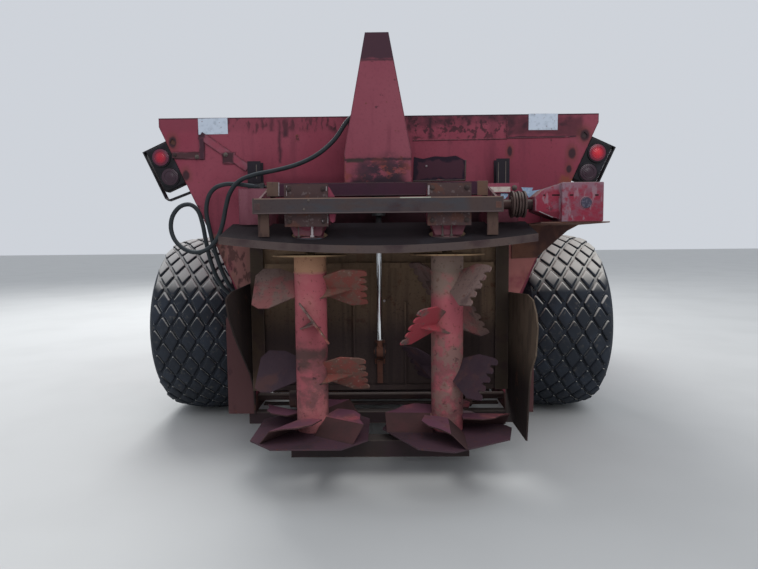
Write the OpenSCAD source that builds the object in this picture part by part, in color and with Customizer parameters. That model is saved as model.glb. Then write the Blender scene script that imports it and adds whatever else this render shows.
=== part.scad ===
// Single axle manure spreader with a V hopper, a chain apron, a sliding gate
// and two upright beaters with throwing discs. Millimetres, +Z up, +Y to the tongue.
// Y is worked out from the rear face of the rear panel, and machine() moves
// everything so that the origin is on the ground below the middle of the length.

/* [Hopper] */
// Length of the load box
box_len = 4300; // [3800:50:5200]
// Outer width across the top rails
top_w = 2562; // [2400:10:2800]
// Clear width between the trough walls
trough_w = 1508; // [1400:4:1560]
// Height of the top of the rails above the ground
top_z = 2063; // [1950:10:2200]
// Height where the trough wall turns into the sloping side
knee_z = 867; // [800:5:950]
// Thickness of the sheet of the box
sheet_t = 8; // [5:1:12]
// Side of the square top rail
rim_h = 50; // [40:5:70]
// Height of the top of the floor
floor_z = 420; // [400:5:450]
// Height of the lower tips of the rear panel
tip_z = 1000; // [960:5:1060]
// Height of the top of the rear opening
open_top = 1400; // [1350:5:1430]

/* [Chassis] */
// Height of the lower rails
rail_h = 150; // [120:5:160]
// Width of the lower rails
rail_w = 100; // [80:5:100]
// Outer half width of the rear end plates
end_plate_x = 922; // [880:2:940]
// Distance of the axle in front of the rear panel
axle_y = 1260; // [1200:20:1500]
// Depth of the axle beam
axle_h = 100; // [80:5:110]
// Width of the axle beam
axle_w = 120; // [100:5:140]
// Number of cross members below the floor
cross_n = 6; // [5:1:8]

/* [Wheels] */
// Outer diameter of a tyre
tyre_d = 1380; // [1300:10:1440]
// Width of a tyre
tyre_w = 650; // [560:10:680]
// Diameter of the rim where the bead sits
rim_d = 673; // [600:1:700]
// Distance between the tyre centres
track_w = 2710; // [2700:10:2900]
// Diameter of the wheel spindle
spindle_d = 90; // [70:2:100]
// Radial clearance of a running fit
fit = 0.05; // [0.02:0.01:0.1]

/* [Tongue and jack] */
// Distance of the hitch pin in front of the load box
hitch_reach = 1700; // [1500:50:2200]
// Diameter of the hole for the hitch pin
hitch_pin_d = 32; // [28:1:40]
// Height of the tongue beams
tongue_h = 120; // [100:5:150]
// Width of the tongue beams
tongue_w = 90; // [80:5:110]
// Diameter of the sliding leg of the jack
jack_leg_d = 56; // [45:1:60]
// Side of the square foot of the jack
jack_foot = 180; // [140:10:220]

/* [Beaters] */
// Half distance between the beater axes
beater_x = 358; // [350:1:365]
// Distance of the beater axes behind the rear panel
beater_y = 400; // [395:1:430]
// Diameter of a beater tube
beater_d = 168; // [140:2:180]
// Height of the top end of the beater tube
beater_top = 1262; // [1200:2:1280]
// Height of the underside of the throwing discs
disc_z = 330; // [325:1:345]
// Diameter of a throwing disc
disc_d = 690; // [620:5:700]
// Radius at the tips of the paddle teeth
paddle_r = 300; // [270:5:305]
// Height of a paddle along its own face
paddle_h = 240; // [180:10:260]
// Pitch of the paddles from upright
paddle_pitch = 35; // [20:1:45]
// Diameter of the beater shafts and of the cross shaft
shaft_d = 50; // [40:1:56]
// Diameter of the plate on top of a beater tube
cap_d = 386; // [300:2:400]

/* [Gate] */
// Travel of the gate
gate_lift = 700; // [500:10:700]
// Height of the lower edge of the gate
gate_z = 462; // [458:1:475]
// Height of the upper edge of the gate
gate_top = 1440; // [1430:5:1470]
// Height of the top of the gate guides
guide_top = 1800; // [1700:10:1900]
// Diameter of the piston rod
rod_d = 32; // [25:1:40]
// Outer diameter of the cylinder
cyl_d = 76; // [64:1:84]

/* [Tower] */
// Height of the top of the tower
tower_top = 2447; // [2440:1:2600]
// Width of the lower part of the tower
tower_w = 364; // [300:2:400]
// Width of the top of the tower
tower_top_w = 126; // [118:2:180]
// Height where the tower starts to taper
tower_knee = 1817; // [1780:5:1900]
// Distance of the tower's rear face behind the rear panel
tower_y = 250; // [230:1:270]

/* [Drive] */
// Height of the cross shaft and of the side shaft
drive_z = 1520; // [1510:1:1530]
// Distance between the sloping side and the axis of the side shaft
side_shaft_gap = 47; // [45:1:60]
// Diameter of the side shaft
side_shaft_d = 44; // [35:1:48]
// Height of the input shaft
pto_z = 700; // [650:10:760]
// Diameter of the input shaft
pto_d = 35; // [34:1:45]

/* [Hidden] */
$fn = 64;

paint_red = "#8a3f42";
bright_red = "#a8323a";
rust_brown = "#6b4535";
steel_brown = "#57443c";
mud_brown = "#4d4236";
rubber_black = "#2b2c2e";
oil_black = "#1d1e20";
chrome = "#c9ccd0";
lens_red = "#d01822";

trough_hw = trough_w / 2;
wall_x = trough_hw + sheet_t;
top_hw = top_w / 2;
eave_z = top_z - rim_h;
slope_k = (top_hw - wall_x) / (eave_z - knee_z);
sheet_x = sheet_t * sqrt(1 + slope_k * slope_k);
rail_top = floor_z + 30;
rail_z = rail_top - rail_h;
rail_out = wall_x + rail_w;
front_beam_y = box_len + 30;
front_beam_w = 100;
hitch_y = box_len + hitch_reach;
rear_reach = beater_y + disc_d / 2;
hitch_nose = 50;
rear_y = -(hitch_y + hitch_nose - rear_reach) / 2;
tyre_r = tyre_d / 2;
rim_r = rim_d / 2;
wheel_x = track_w / 2;
shaft_r = shaft_d / 2;
tower_t = 8;
guide_d = 80;
guide_in = trough_hw - 79;
guide_t = 8;
guide_out = trough_hw - 4;
gate_y = -45;
gate_t = 8;
rod_y = -130;
beam_y = -550;
beam_z = 1477;
beam_h = 76;
beam_d = 38;
beam_hw = 620;
plate_t = 12;
gear_w = 219;
gear_z = 1413;
gear_h = 211;
gear_neck_z = 1344;
hood_front = -165;
hood_lip = -570;
hood_z = 1440;
hood_lip_z = 1368;
hood_sag = 52;
hood_t = 6;
hood_hw = 785;
lip_h = 38;
sill_h = 90;
sill_z = disc_z - 40 - sill_h;
sill_hw = beater_x + 112;
disc_t = 8;
tower_base_z = 1656;
tower_beam_h = 71;
tower_beam_d = 75;
bracket_in = 602;
cyl_bottom = hood_z + 40;
cyl_top = tower_top - 117;
cyl_wall = 6;
pin_d = 25;
port_z = cyl_top - 130;
return_y = rod_y - 20;
return_z = cyl_bottom + 168;
lamp_w = 135;
lamp_l = 262;
lamp_z = 1783;
lens_d = 102;
apron_r = 60;
apron_rear = 110;
apron_front = box_len - 110;
apron_z = floor_z - 45;
case_y = box_len + 30;
case_d = 100;
case_r = 110;

// Outer face of the sloping side at height z
function slope_x(z) = wall_x + (z - knee_z) * slope_k;
side_shaft_x = round(slope_x(drive_z) + side_shaft_gap);

module machine() translate([0, rear_y, 0]) children();
module both() { children(); mirror([1, 0, 0]) children(); }
// A flat outline in X and Z, drawn out along Y
module xz(y0, y1) translate([0, y1, 0]) rotate([90, 0, 0]) linear_extrude(y1 - y0) children();
// A flat outline in Y and Z, drawn out along X
module yz(x0, x1) translate([x0, 0, 0]) rotate([90, 0, 90]) linear_extrude(x1 - x0) children();
module box(x0, x1, y0, y1, z0, z1) translate([x0, y0, z0]) cube([x1 - x0, y1 - y0, z1 - z0]);
module bar_x(x0, x1, y, z, d) translate([x0, y, z]) rotate([0, 90, 0]) cylinder(d = d, h = x1 - x0);
module bar_y(x, y0, y1, z, d) translate([x, y1, z]) rotate([90, 0, 0]) cylinder(d = d, h = y1 - y0);
module bar_z(x, y, z0, z1, d) translate([x, y, z0]) cylinder(d = d, h = z1 - z0);

module floor_pan() color(steel_brown) machine()
    box(-trough_hw, trough_hw, apron_rear + 90, apron_front - 90, floor_z - sheet_t, floor_z);

module side() xz(sheet_t, box_len - sheet_t) polygon([
    [trough_hw, floor_z - sheet_t], [wall_x, floor_z - sheet_t], [wall_x, knee_z],
    [top_hw, eave_z], [top_hw - sheet_x, eave_z], [trough_hw, knee_z + (sheet_x - sheet_t) / slope_k]]);
module side_right() color(paint_red) machine() side();
module side_left() color(paint_red) machine() mirror([1, 0, 0]) side();

module front_wall() color(paint_red) machine() {
    xz(box_len - sheet_t, box_len) both() polygon([
        [0, floor_z - sheet_t], [wall_x, floor_z - sheet_t], [wall_x, knee_z],
        [top_hw, eave_z], [top_hw, top_z], [0, top_z]]);
    for (x = [-620, 620]) box(x - 20, x + 20, box_len, box_len + 30, 1300, top_z);
}

patch_t = 4;
strap_t = 8;
strap_w = 42;
// A flat strap on the rear face between two points of it
module strap(a, b, w) xz(-strap_t, 0) translate(a) rotate([0, 0, atan2(b[1] - a[1], b[0] - a[0])])
    translate([0, -w / 2]) square([norm(b - a), w]);
// A ragged hole through the panel around a point, from rows of distance and angle, drawn at a size
module ragged(x, z, rows, size = 1) xz(-1, sheet_t + 1) translate([x, z])
    polygon([for (r = rows) size * r[0] * [cos(r[1]), sin(r[1])]]);
rust_hole = [[19, 0], [15, 50], [21, 95], [14, 150], [18, 200], [13, 245], [20, 300]];
notch_rows = [drive_z - 97, drive_z - 38, drive_z + 21];
module rear_panel() color(paint_red) machine() {
    difference() {
        xz(0, sheet_t) both() polygon([
            [0, top_z], [top_hw, top_z], [top_hw, eave_z], [slope_x(tip_z), tip_z],
            [trough_hw, tip_z], [trough_hw, open_top], [0, open_top]]);
        ragged(-top_hw + 77, top_z - 138, rust_hole);
        ragged(top_hw - 81, top_z - 124, rust_hole);
        for (z = notch_rows) ragged(-slope_x(z) + 2, z, rust_hole, 0.8);
    }
    xz(-patch_t, 0) translate([tower_w / 2 + 21, tower_base_z + 32]) polygon([
        [0, 0], [135, 4], [149, 12], [217, -2], [303, 6], [299, 54], [305, 113], [249, 141], [188, 134],
        [127, 139], [59, 124], [6, 136]]);
    strap([-top_hw + 243, top_z - 99], [-guide_out - 16, top_z - 293], strap_w);
    strap([-top_hw + 75, top_z - 213], [-top_hw + 239, top_z - 220], strap_w - 8);
    strap([-top_hw + 249, top_z - 122], [-top_hw + 249, top_z - 237], 26);
    strap([-top_hw + 373, top_z - 234], [-top_hw + 443, top_z - 234], 62);
}

module top_rails() color(paint_red) machine()
    both() difference() {
        box(top_hw - rim_h, top_hw, sheet_t, box_len - sheet_t, eave_z, top_z);
        box(top_hw - rim_h + 5, top_hw - 5, sheet_t - 1, box_len, eave_z + 5, top_z - 5);
    }

stake_first = 350;
stake_last = box_len - 70;
stake_ahead = axle_y + tyre_r + stake_first;
stake_pitch = (stake_last - stake_ahead) / 3;
stake_rows = [stake_first, for (i = [0 : 3]) stake_ahead + i * stake_pitch];
stake_z = drive_z + 80;
stake_d = side_shaft_gap + side_shaft_d;
module stake() polygon([
    [wall_x, rail_top], [rail_out, rail_top], [rail_out, knee_z - 60],
    [slope_x(stake_z) + stake_d, stake_z], [top_hw, eave_z], [wall_x, knee_z]]);
line_x = wall_x + 30;
line_rows = [[-890, 700], [-845, 740]];
line_y = 75;
line_top = 950;
line_d = 22;
return_x = -640;
module stakes_left() color(paint_red) machine() for (y = stake_rows) difference() {
    mirror([1, 0, 0]) xz(y, y + 8) stake();
    for (r = line_rows) bar_y(-line_x, y - 1, y + 9, r[1], line_d + 8);
}
module stakes_right() color(paint_red) machine() for (y = stake_rows) difference() {
    xz(y, y + 8) stake();
    bar_y(side_shaft_x, y - 1, y + 9, drive_z, side_shaft_d + 16);
}

module rail() difference() {
    box(wall_x, rail_out, sheet_t, front_beam_y, rail_z, rail_top);
    box(wall_x + 8, rail_out - 8, sheet_t - 1, front_beam_y + 1, rail_z + 8, rail_top - 8);
}
module rail_right() color(rust_brown) machine() rail();
module rail_left() color(rust_brown) machine() mirror([1, 0, 0]) rail();

module cross_members() color(rust_brown) machine()
    for (i = [0 : cross_n - 1])
        let (y = apron_rear + 250 + i * (apron_front - apron_rear - 560) / (cross_n - 1)) difference() {
            box(-wall_x, wall_x, y, y + 60, floor_z - sheet_t - 60, floor_z - sheet_t);
            box(-wall_x - 1, wall_x + 1, y + 5, y + 55, floor_z - sheet_t - 55, floor_z - sheet_t - 5);
        }

module end_plate() xz(0, sheet_t) polygon([
    [trough_hw, rail_z], [end_plate_x, rail_z], [end_plate_x, tip_z - 120],
    [slope_x(tip_z), tip_z], [trough_hw, tip_z]]);
module end_plate_right() color(rust_brown) machine() end_plate();
module end_plate_left() color(rust_brown) machine() mirror([1, 0, 0]) end_plate();

axle_top = rail_z - 20;
hub_in = wheel_x - 190;
hub_out = wheel_x + 120;
module axle() color(steel_brown) machine() {
    box(-rail_out - 10, rail_out + 10, axle_y - axle_w / 2, axle_y + axle_w / 2,
        axle_top - axle_h, axle_top);
    both() {
        box(wall_x, rail_out, axle_y - axle_w / 2 - 40, axle_y + axle_w / 2 + 40, axle_top, rail_z);
        yz(rail_out + 10, rail_out + 80) polygon([
            [axle_y - 70, axle_top - axle_h], [axle_y + 70, axle_top - axle_h], [axle_y + 70, tyre_r + 60],
            [axle_y + 40, tyre_r + 90], [axle_y - 40, tyre_r + 90], [axle_y - 70, tyre_r + 60]]);
        bar_x(rail_out + 80, hub_in - 6, axle_y, tyre_r, spindle_d + 30);
        bar_x(hub_in - 6, hub_out - 30, axle_y, tyre_r, spindle_d);
    }
}

rim_hw = tyre_w * 0.39;
rim_t = 8;
module rim() translate([wheel_x, axle_y, tyre_r]) rotate([0, 90, 0]) rotate_extrude($fn = 96) {
    both_ends() {
        translate([rim_r - rim_t, rim_hw - 100]) square([rim_t, 91]);
        translate([rim_r - rim_t, rim_hw - 9]) square([rim_t + 13, 9]);
        translate([rim_r - 40, rim_hw - 108]) square([40, 8]);
    }
    translate([rim_r - 40, -rim_hw + 100]) square([rim_t, 2 * rim_hw - 200]);
    translate([spindle_d / 2 + 20, 40]) square([rim_r - 40 - spindle_d / 2 - 20, 14]);
    translate([spindle_d / 2 + fit, hub_in - wheel_x]) square([45, hub_out - 20 - hub_in]);
    translate([0, hub_out - wheel_x - 20]) square([spindle_d / 2 + 45, 20]);
}
module both_ends() { children(); mirror([0, 1]) children(); }
module rim_right() color(rust_brown) machine() rim();
module rim_left() color(rust_brown) machine() mirror([1, 0, 0]) rim();

bead_w = rim_hw - 9;
crown_drop = 40;
carcass_t = 24;
function side_w(r) = bead_w + (tyre_w / 2 - bead_w) * sin(180 * (r - rim_r - 14) / (tyre_r - rim_r - 14));
shoulder_r = tyre_r - crown_drop;
shoulder_w = side_w(shoulder_r);
tyre_outer = concat(
    [[rim_r, bead_w]],
    [for (i = [0 : 9]) let (r = rim_r + 14 + i * (shoulder_r - rim_r - 14) / 9) [r, side_w(r)]],
    [for (i = [1 : 5]) let (x = shoulder_w * (1 - i / 5))
        [tyre_r - crown_drop * pow(x / shoulder_w, 2), x]]);
tyre_inner = concat(
    [for (i = [0 : 5]) let (x = (shoulder_w - carcass_t) * i / 5)
        [tyre_r - carcass_t - 16 - crown_drop * pow(x / shoulder_w, 2), x]],
    [for (i = [1 : 6]) let (r = shoulder_r - carcass_t - 16 - i * (shoulder_r - rim_r - 80) / 6)
        [r, side_w(r) - carcass_t]],
    [[rim_r, bead_w - 40]]);
module tyre() translate([wheel_x, axle_y, tyre_r]) rotate([0, 90, 0])
    rotate_extrude($fn = 96) both_ends() polygon(concat(tyre_outer, tyre_inner));
module tyre_right() color(rubber_black) machine() tyre();
module tyre_left() color(rubber_black) machine() mirror([1, 0, 0]) tyre();

module front_beam() color(paint_red) machine() difference() {
    box(-rail_out, rail_out, front_beam_y, front_beam_y + front_beam_w, rail_z, rail_top);
    box(-rail_out - 1, rail_out + 1, front_beam_y + 8, front_beam_y + front_beam_w - 8,
        rail_z + 8, rail_top - 8);
}

tongue_rear_x = 560;
tongue_front_x = 62;
tongue_y0 = front_beam_y + front_beam_w;
tongue_y1 = hitch_y - 120;
tongue_a = atan((tongue_rear_x - tongue_front_x) / (tongue_y1 - tongue_y0));
tongue_z0 = rail_z + 15;
// The beam is drawn longer than the tongue and cut off square at both ends
tongue_cut = 2 * tongue_w;
tongue_len = (tongue_y1 - tongue_y0) / cos(tongue_a) + 2 * tongue_cut;
module tongue_beam() intersection() {
    translate([tongue_rear_x, tongue_y0, tongue_z0]) rotate([0, 0, tongue_a]) difference() {
        box(-tongue_w / 2, tongue_w / 2, -tongue_cut, tongue_len, 0, tongue_h);
        box(-tongue_w / 2 + 8, tongue_w / 2 - 8, -tongue_cut - 1, tongue_len + 1, 8, tongue_h - 8);
    }
    box(0, tongue_rear_x + tongue_w, tongue_y0, tongue_y1, tongue_z0, tongue_z0 + tongue_h);
}
module tongue_right() color(paint_red) machine() tongue_beam();
module tongue_left() color(paint_red) machine() mirror([1, 0, 0]) tongue_beam();

hitch_hw = tongue_front_x + tongue_w / 2 / cos(tongue_a) + 6;
module hitch() color(rust_brown) machine() {
    box(-hitch_hw, hitch_hw, tongue_y1, tongue_y1 + 20, tongue_z0, tongue_z0 + tongue_h);
    for (z = [tongue_z0, tongue_z0 + tongue_h - 25]) difference() {
        union() {
            box(-50, 50, tongue_y1 + 20, hitch_y, z, z + 25);
            bar_z(0, hitch_y, z, z + 25, 100);
        }
        bar_z(0, hitch_y, z - 1, z + 26, hitch_pin_d);
    }
}

jack_setback = 700;
jack_stroke_len = 690;
jack_y = hitch_y - jack_setback;
jack_x = -(tongue_rear_x - (jack_y - tongue_y0) * tan(tongue_a) + tongue_w / 2 / cos(tongue_a) + 75);
jack_tube_z = tongue_z0 + 30;
jack_tube_len = 715;
jack_tube_top = jack_tube_z + jack_tube_len;
crank_reach = 150;
crank_z = jack_tube_top + 35;
module jack_tube() color(paint_red) machine() {
    difference() {
        union() {
            bar_z(jack_x, jack_y, jack_tube_z, jack_tube_top, jack_leg_d + 16);
            difference() {
                box(jack_x, jack_x + 90, jack_y - 35, jack_y + 35,
                    tongue_z0 + 15, tongue_z0 + tongue_h - 15);
                mirror([1, 0, 0]) translate([tongue_rear_x, tongue_y0, 0]) rotate([0, 0, tongue_a])
                    box(-tongue_w, tongue_w / 2 + 0.2, 0, tongue_len, tongue_z0, tongue_z0 + tongue_h);
            }
        }
        bar_z(jack_x, jack_y, tongue_z0, jack_tube_top - 20, jack_leg_d + 2 * fit);
    }
    bar_z(jack_x, jack_y, jack_tube_top, jack_tube_top + 25, 30);
    bar_x(jack_x - 15, jack_x + crank_reach + 10, jack_y, crank_z, 22);
    bar_z(jack_x + crank_reach, jack_y, crank_z + 5, crank_z + 95, 24);
}
module jack_leg() color(steel_brown) machine() {
    bar_z(jack_x, jack_y, 10, 10 + jack_stroke_len, jack_leg_d);
    box(jack_x - jack_foot / 2, jack_x + jack_foot / 2, jack_y - jack_foot / 2, jack_y + jack_foot / 2,
        0, 10);
}

// Stand-offs between the front wall and the case, the second at a share of the case's length
stand_off_d = 120;
stand_off_at = 0.724;
module drive_case() color(bright_red) machine() difference() {
    union() {
        bar_y(0, case_y, case_y + case_d, pto_z, 2 * case_r);
        bar_y(side_shaft_x, case_y, case_y + case_d, drive_z, 2 * case_r);
        translate([0, 0, pto_z]) rotate([0, -atan((drive_z - pto_z) / side_shaft_x), 0])
            box(0, norm([side_shaft_x, drive_z - pto_z]), case_y, case_y + case_d,
                15 - case_r, case_r - 15);
        for (s = [0, stand_off_at])
            bar_y(s * side_shaft_x, box_len, case_y, pto_z + s * (drive_z - pto_z), stand_off_d);
    }
    bar_y(0, case_y + 30, case_y + case_d + 1, pto_z, pto_d + pto_step + 2 * fit);
    bar_y(side_shaft_x, case_y - 1, case_y + 70, drive_z, side_shaft_d + 2 * fit);
}
pto_step = 14;
module pto_shaft() color(steel_brown) machine() {
    bar_y(0, case_y + 40, case_y + case_d, pto_z, pto_d + pto_step);
    bar_y(0, case_y + case_d, case_y + case_d + 150, pto_z, pto_d);
}

guard_w = 245;
guard_x1 = side_shaft_x + 60;
guard_x0 = guard_x1 - guard_w;
guard_y0 = -500;
guard_y1 = -100;
guard_z0 = 1426;
guard_z1 = 1639;
module side_shaft() color(steel_brown) machine()
    bar_y(side_shaft_x, guard_y1 - 60, case_y + 60, drive_z, side_shaft_d);
module shaft_bearings() color(rust_brown) machine()
    for (y = [stake_rows[0], stake_rows[1], stake_rows[3]]) difference() {
        bar_y(side_shaft_x, y + 8, y + 38, drive_z, side_shaft_d + 40);
        bar_y(side_shaft_x, y, y + 40, drive_z, side_shaft_d + 2 * fit);
    }

shaft_start = -beater_x - 80;
snout = 124;
coupling_n = 5;
coupling_pitch = 15;
coupling_t = 9;
coupling_d = 138;
coupling_w = coupling_n * coupling_pitch;
coupling_x = guard_x0 - snout - coupling_w - 35;
module cross_shaft() color(steel_brown) machine() {
    bar_x(shaft_start, guard_x0 + 40, -beater_y, drive_z, shaft_d);
    for (i = [0 : coupling_n - 1]) let (x = coupling_x + 3 + i * coupling_pitch)
        bar_x(x, x + coupling_t, -beater_y, drive_z, coupling_d - 10 * (i % 2));
    bar_x(coupling_x, coupling_x + coupling_w, -beater_y, drive_z, 84);
}

plug_d = 58;
module drive_guard() color(bright_red) machine() difference() {
    union() {
        box(guard_x0, guard_x1, guard_y0, guard_y1, guard_z0, guard_z1);
        xz(-beater_y - 70, -beater_y + 70) polygon([
            [guard_x0, guard_z0 + 10], [guard_x0, guard_z1 - 7], [guard_x0 - 0.72 * snout, drive_z + 70],
            [guard_x0 - snout, drive_z + 38], [guard_x0 - snout, drive_z - 38]]);
        bar_y(side_shaft_x - 40, guard_y0 - 6, guard_y0, drive_z + 40, plug_d);
    }
    bar_x(guard_x0 - snout - 1, guard_x0 + 60, -beater_y, drive_z, shaft_d + 2 * fit);
    bar_y(side_shaft_x, guard_y1 - 80, guard_y1 + 1, drive_z, side_shaft_d + 2 * fit);
}

module drive_bracket() color(rust_brown) machine() {
    box(hood_front_hw + 4, guard_x1 + 5, guard_y0 + 20, 0, guard_z0 - 6, guard_z0);
    xz(-12, 0) polygon([
        [wall_x + 20, guard_z0 - 6], [guard_x1 + 5, guard_z0 - 6], [guard_x1 - 60, guard_z0 - 40],
        [slope_x(guard_z0 - 195), guard_z0 - 195], [wall_x + 20, guard_z0 - 200]]);
}

module beater_beam() color(steel_brown) machine()
    difference() {
        box(-beam_hw, beam_hw, beam_y, beam_y + beam_d, beam_z, beam_z + beam_h);
        box(-beam_hw - 1, beam_hw + 1, beam_y + 7, beam_y + beam_d + 1, beam_z + 7, beam_z + beam_h - 7);
    }

module gearbox() difference() {
    union() {
        box(beater_x - gear_w / 2, beater_x + gear_w / 2, beam_y + beam_d, beam_y + beam_d + plate_t,
            gear_z, gear_z + gear_h);
        box(beater_x - 100, beater_x + 100, beam_y + beam_d + plate_t, -beater_y + 100,
            gear_z + 12, gear_z + gear_h - 12);
        translate([beater_x, -beater_y, 0]) rotate_extrude() polygon([
            [0, gear_neck_z], [78, gear_neck_z], [78, gear_neck_z + 12], [72, gear_neck_z + 20],
            [76, gear_neck_z + 45], [98, gear_z + 12], [0, gear_z + 12]]);
    }
    bar_z(beater_x, -beater_y, gear_neck_z - 1, drive_z - shaft_r - 20, shaft_d + 2 * fit);
    bar_x(beater_x - 90, beater_x + 101, -beater_y, drive_z, shaft_d + 2 * fit);
}
module gearbox_right() color(paint_red) machine() difference() {
    gearbox();
    bar_x(beater_x - 101, beater_x - 80, -beater_y, drive_z, shaft_d + 2 * fit);
}
module gearbox_left() color(paint_red) machine() difference() {
    mirror([1, 0, 0]) difference() {
        gearbox();
        bar_x(beater_x - 101, beater_x + 90, -beater_y, drive_z, shaft_d + 2 * fit);
    }
}

function hood_drop(x) = hood_lip_z - hood_sag * (1 - pow(x / hood_hw, 2));
function hood_at(x, y) = hood_z + (hood_drop(x) - hood_z) * (hood_front - y) / (hood_front - hood_lip);
hood_n = 16;
hood_front_hw = 820;
lip_t = 10;
// Half width of the hood at a distance y behind the panel
function hood_x(y) = hood_hw + (hood_front_hw - hood_hw) * (y - hood_lip) / (hood_front - hood_lip);
// The hood's section at the share s of its half width: a sloping sheet with a lip below its rear edge
function hood_section(s) = let (z = hood_drop(s * hood_hw)) [
    for (p = [[hood_front, hood_z], [hood_front, hood_z - hood_t], [hood_lip, z - hood_t],
        [hood_lip, z - lip_h], [hood_lip - lip_t, z - lip_h], [hood_lip - lip_t, z], [hood_lip, z]])
        [s * hood_x(p[0]), p[0], p[1]]];
module hood() color(steel_brown) machine() difference() {
    k = 7;
    polyhedron(
        points = [for (i = [0 : hood_n]) each hood_section(2 * i / hood_n - 1)],
        faces = concat(
            [[for (j = [0 : k - 1]) k - 1 - j], [for (j = [0 : k - 1]) k * hood_n + j]],
            [for (i = [0 : hood_n - 1]) for (j = [0 : k - 1])
                let (q = (j + 1) % k, a = k * i, b = k * (i + 1))
                each [[a + j, a + q, b + q], [a + j, b + q, b + j]]]));
    both() bar_z(beater_x, -beater_y, gear_neck_z - 100, hood_z + 10, 190);
}

post_w = 55;
module hood_brackets() color(paint_red) machine() both() {
    box(guide_in, hood_front_hw, hood_front, -guide_d, hood_z - hood_t, hood_z);
    box(bracket_in, wall_x, -tower_y, -tower_y + tower_t, hood_at(wall_x, -tower_y) + 8, hood_z + 190);
    difference() {
        yz(bracket_in - plate_t, bracket_in) polygon([
            [-guide_d - 5, hood_z + 190], [-guide_d - 5, hood_z], [hood_front, hood_z],
            [beam_y + beam_d + plate_t, hood_at(hood_hw, beam_y + beam_d + plate_t) + 2],
            [beam_y + beam_d + plate_t, beam_z + beam_h], [-tower_y, hood_z + 190]]);
        bar_x(bracket_in - plate_t - 1, bracket_in + 1, -beater_y, drive_z, shaft_d + 30);
    }
    box(guide_in, guide_in + plate_t, -tower_y + tower_t, -guide_d, hood_z + 40, hood_z + 190);
    box(bracket_in, guide_in, -guide_d - 5 - plate_t, -guide_d - 5, hood_z + 40, hood_z + 190);
    box(bracket_in - post_w, bracket_in, beam_y + beam_d, beam_y + beam_d + plate_t,
        hood_at(bracket_in, beam_y + beam_d + plate_t) + 1, beam_z + beam_h);
}

sill_arm_x = sill_hw - 60;
sill_arm_w = 80;
sill_tube_h = 70;
sill_tube_hw = wall_x + 40;
module sill() color(rust_brown) machine() {
    difference() {
        box(-sill_hw, sill_hw, -beater_y - 50, -beater_y + 50, sill_z, sill_z + sill_h);
        box(-sill_hw - 1, sill_hw + 1, -beater_y - 42, -beater_y + 42, sill_z + 8, sill_z + sill_h - 8);
    }
    both() {
        difference() {
            bar_z(beater_x, -beater_y, sill_z + sill_h, disc_z - 10, 130);
            bar_z(beater_x, -beater_y, sill_z + sill_h - 1, disc_z, shaft_d + 2 * fit);
        }
        box(sill_arm_x - sill_arm_w, sill_arm_x, -beater_y + 50, 50, sill_z + 5, sill_z + sill_h - 10);
    }
    box(-sill_tube_hw, sill_tube_hw, 20, 90, rail_z - sill_tube_h, rail_z);
}

// Outlines of the shields as shares of their reach and of their height above the rails
shield_reach = 690;
shield_top = 1096;
shield_shape_r = [
    [0, 0.917], [0.706, 0.955], [0.865, 0.933], [0.957, 0.858], [1, 0.780], [0.957, 0.599],
    [0.836, 0.482], [0.788, 0.347], [0.725, 0], [0, 0]];
shield_shape_l = [
    [0, 1], [0.667, 0.986], [0.783, 0.967], [0.832, 0.948], [0.819, 0.892], [0.768, 0.817], [0.638, 0.691],
    [0.493, 0.578], [0.333, 0.459], [0.174, 0.343], [0.087, 0.251], [0.044, 0.176], [0.029, 0], [0, 0]];
module shield(shape) yz(trough_hw, wall_x) polygon([
    for (p = shape) [-p[0] * shield_reach, rail_z + p[1] * (shield_top - rail_z)]]);
module shield_right() color(mud_brown) machine() shield(shield_shape_r);
module shield_left() color(mud_brown) machine() mirror([1, 0, 0]) shield(shield_shape_l);

tube_r = beater_d / 2;
disc_r = disc_d / 2;
collar_z = beater_top - 86;
collar_h = 6;
collar_d = beater_d + 7;
scoop_h = 82;
scoop_t = 6;
// A throwing scoop: a sheet that rises from the disc to a ridge and runs on as a lid
module scoop() translate([0, 0, disc_z + disc_t]) intersection() {
    yz(tube_r - 10, disc_r - 8) polygon([
        [84, 0], [0, scoop_h], [-140, scoop_h + 12], [-140, scoop_h + 12 - scoop_t],
        [2, scoop_h - scoop_t], [76, 0]]);
    linear_extrude(scoop_h + 20) polygon([
        [tube_r - 6, 90], [disc_r - 28, 90], [disc_r - 14, 0], [disc_r - 70, -45],
        [disc_r - 108, -104], [disc_r - 175, -138], [tube_r - 30, -118], [tube_r - 6, -20]]);
}
// A throwing disc: a square plate with its corners cut off at the full radius
disc_corner = 30;
module disc(turn) rotate([0, 0, turn]) translate([0, 0, disc_z]) linear_extrude(disc_t)
    polygon([for (a = [0 : 90 : 270]) for (b = [-disc_corner, disc_corner])
        disc_r * [cos(a + b), sin(a + b)]]);
module beater(turn, scoop_turn) translate([beater_x, -beater_y, 0]) {
    bar_z(0, 0, disc_z + disc_t, beater_top, beater_d);
    bar_z(0, 0, collar_z, collar_z + collar_h, collar_d);
    bar_z(0, 0, beater_top, beater_top + 8, cap_d);
    disc(turn);
    bar_z(0, 0, sill_z + sill_h + 4, disc_z + disc_t / 2, shaft_d);
    bar_z(0, 0, beater_top + 4, drive_z - shaft_r - 28, shaft_d);
    for (a = [0 : 90 : 270]) rotate([0, 0, a + scoop_turn]) scoop();
}
module beater_right() color(paint_red) machine() beater(disc_corner, 177);
module beater_left() color(paint_red) machine() mirror([1, 0, 0]) beater(0, 213);

paddle_t = 8;
tooth_n = 5;
tooth_d = 34;
tooth_gap = 9;
tooth_p = paddle_h / tooth_n;
paddle_root = tube_r - 20;
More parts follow.
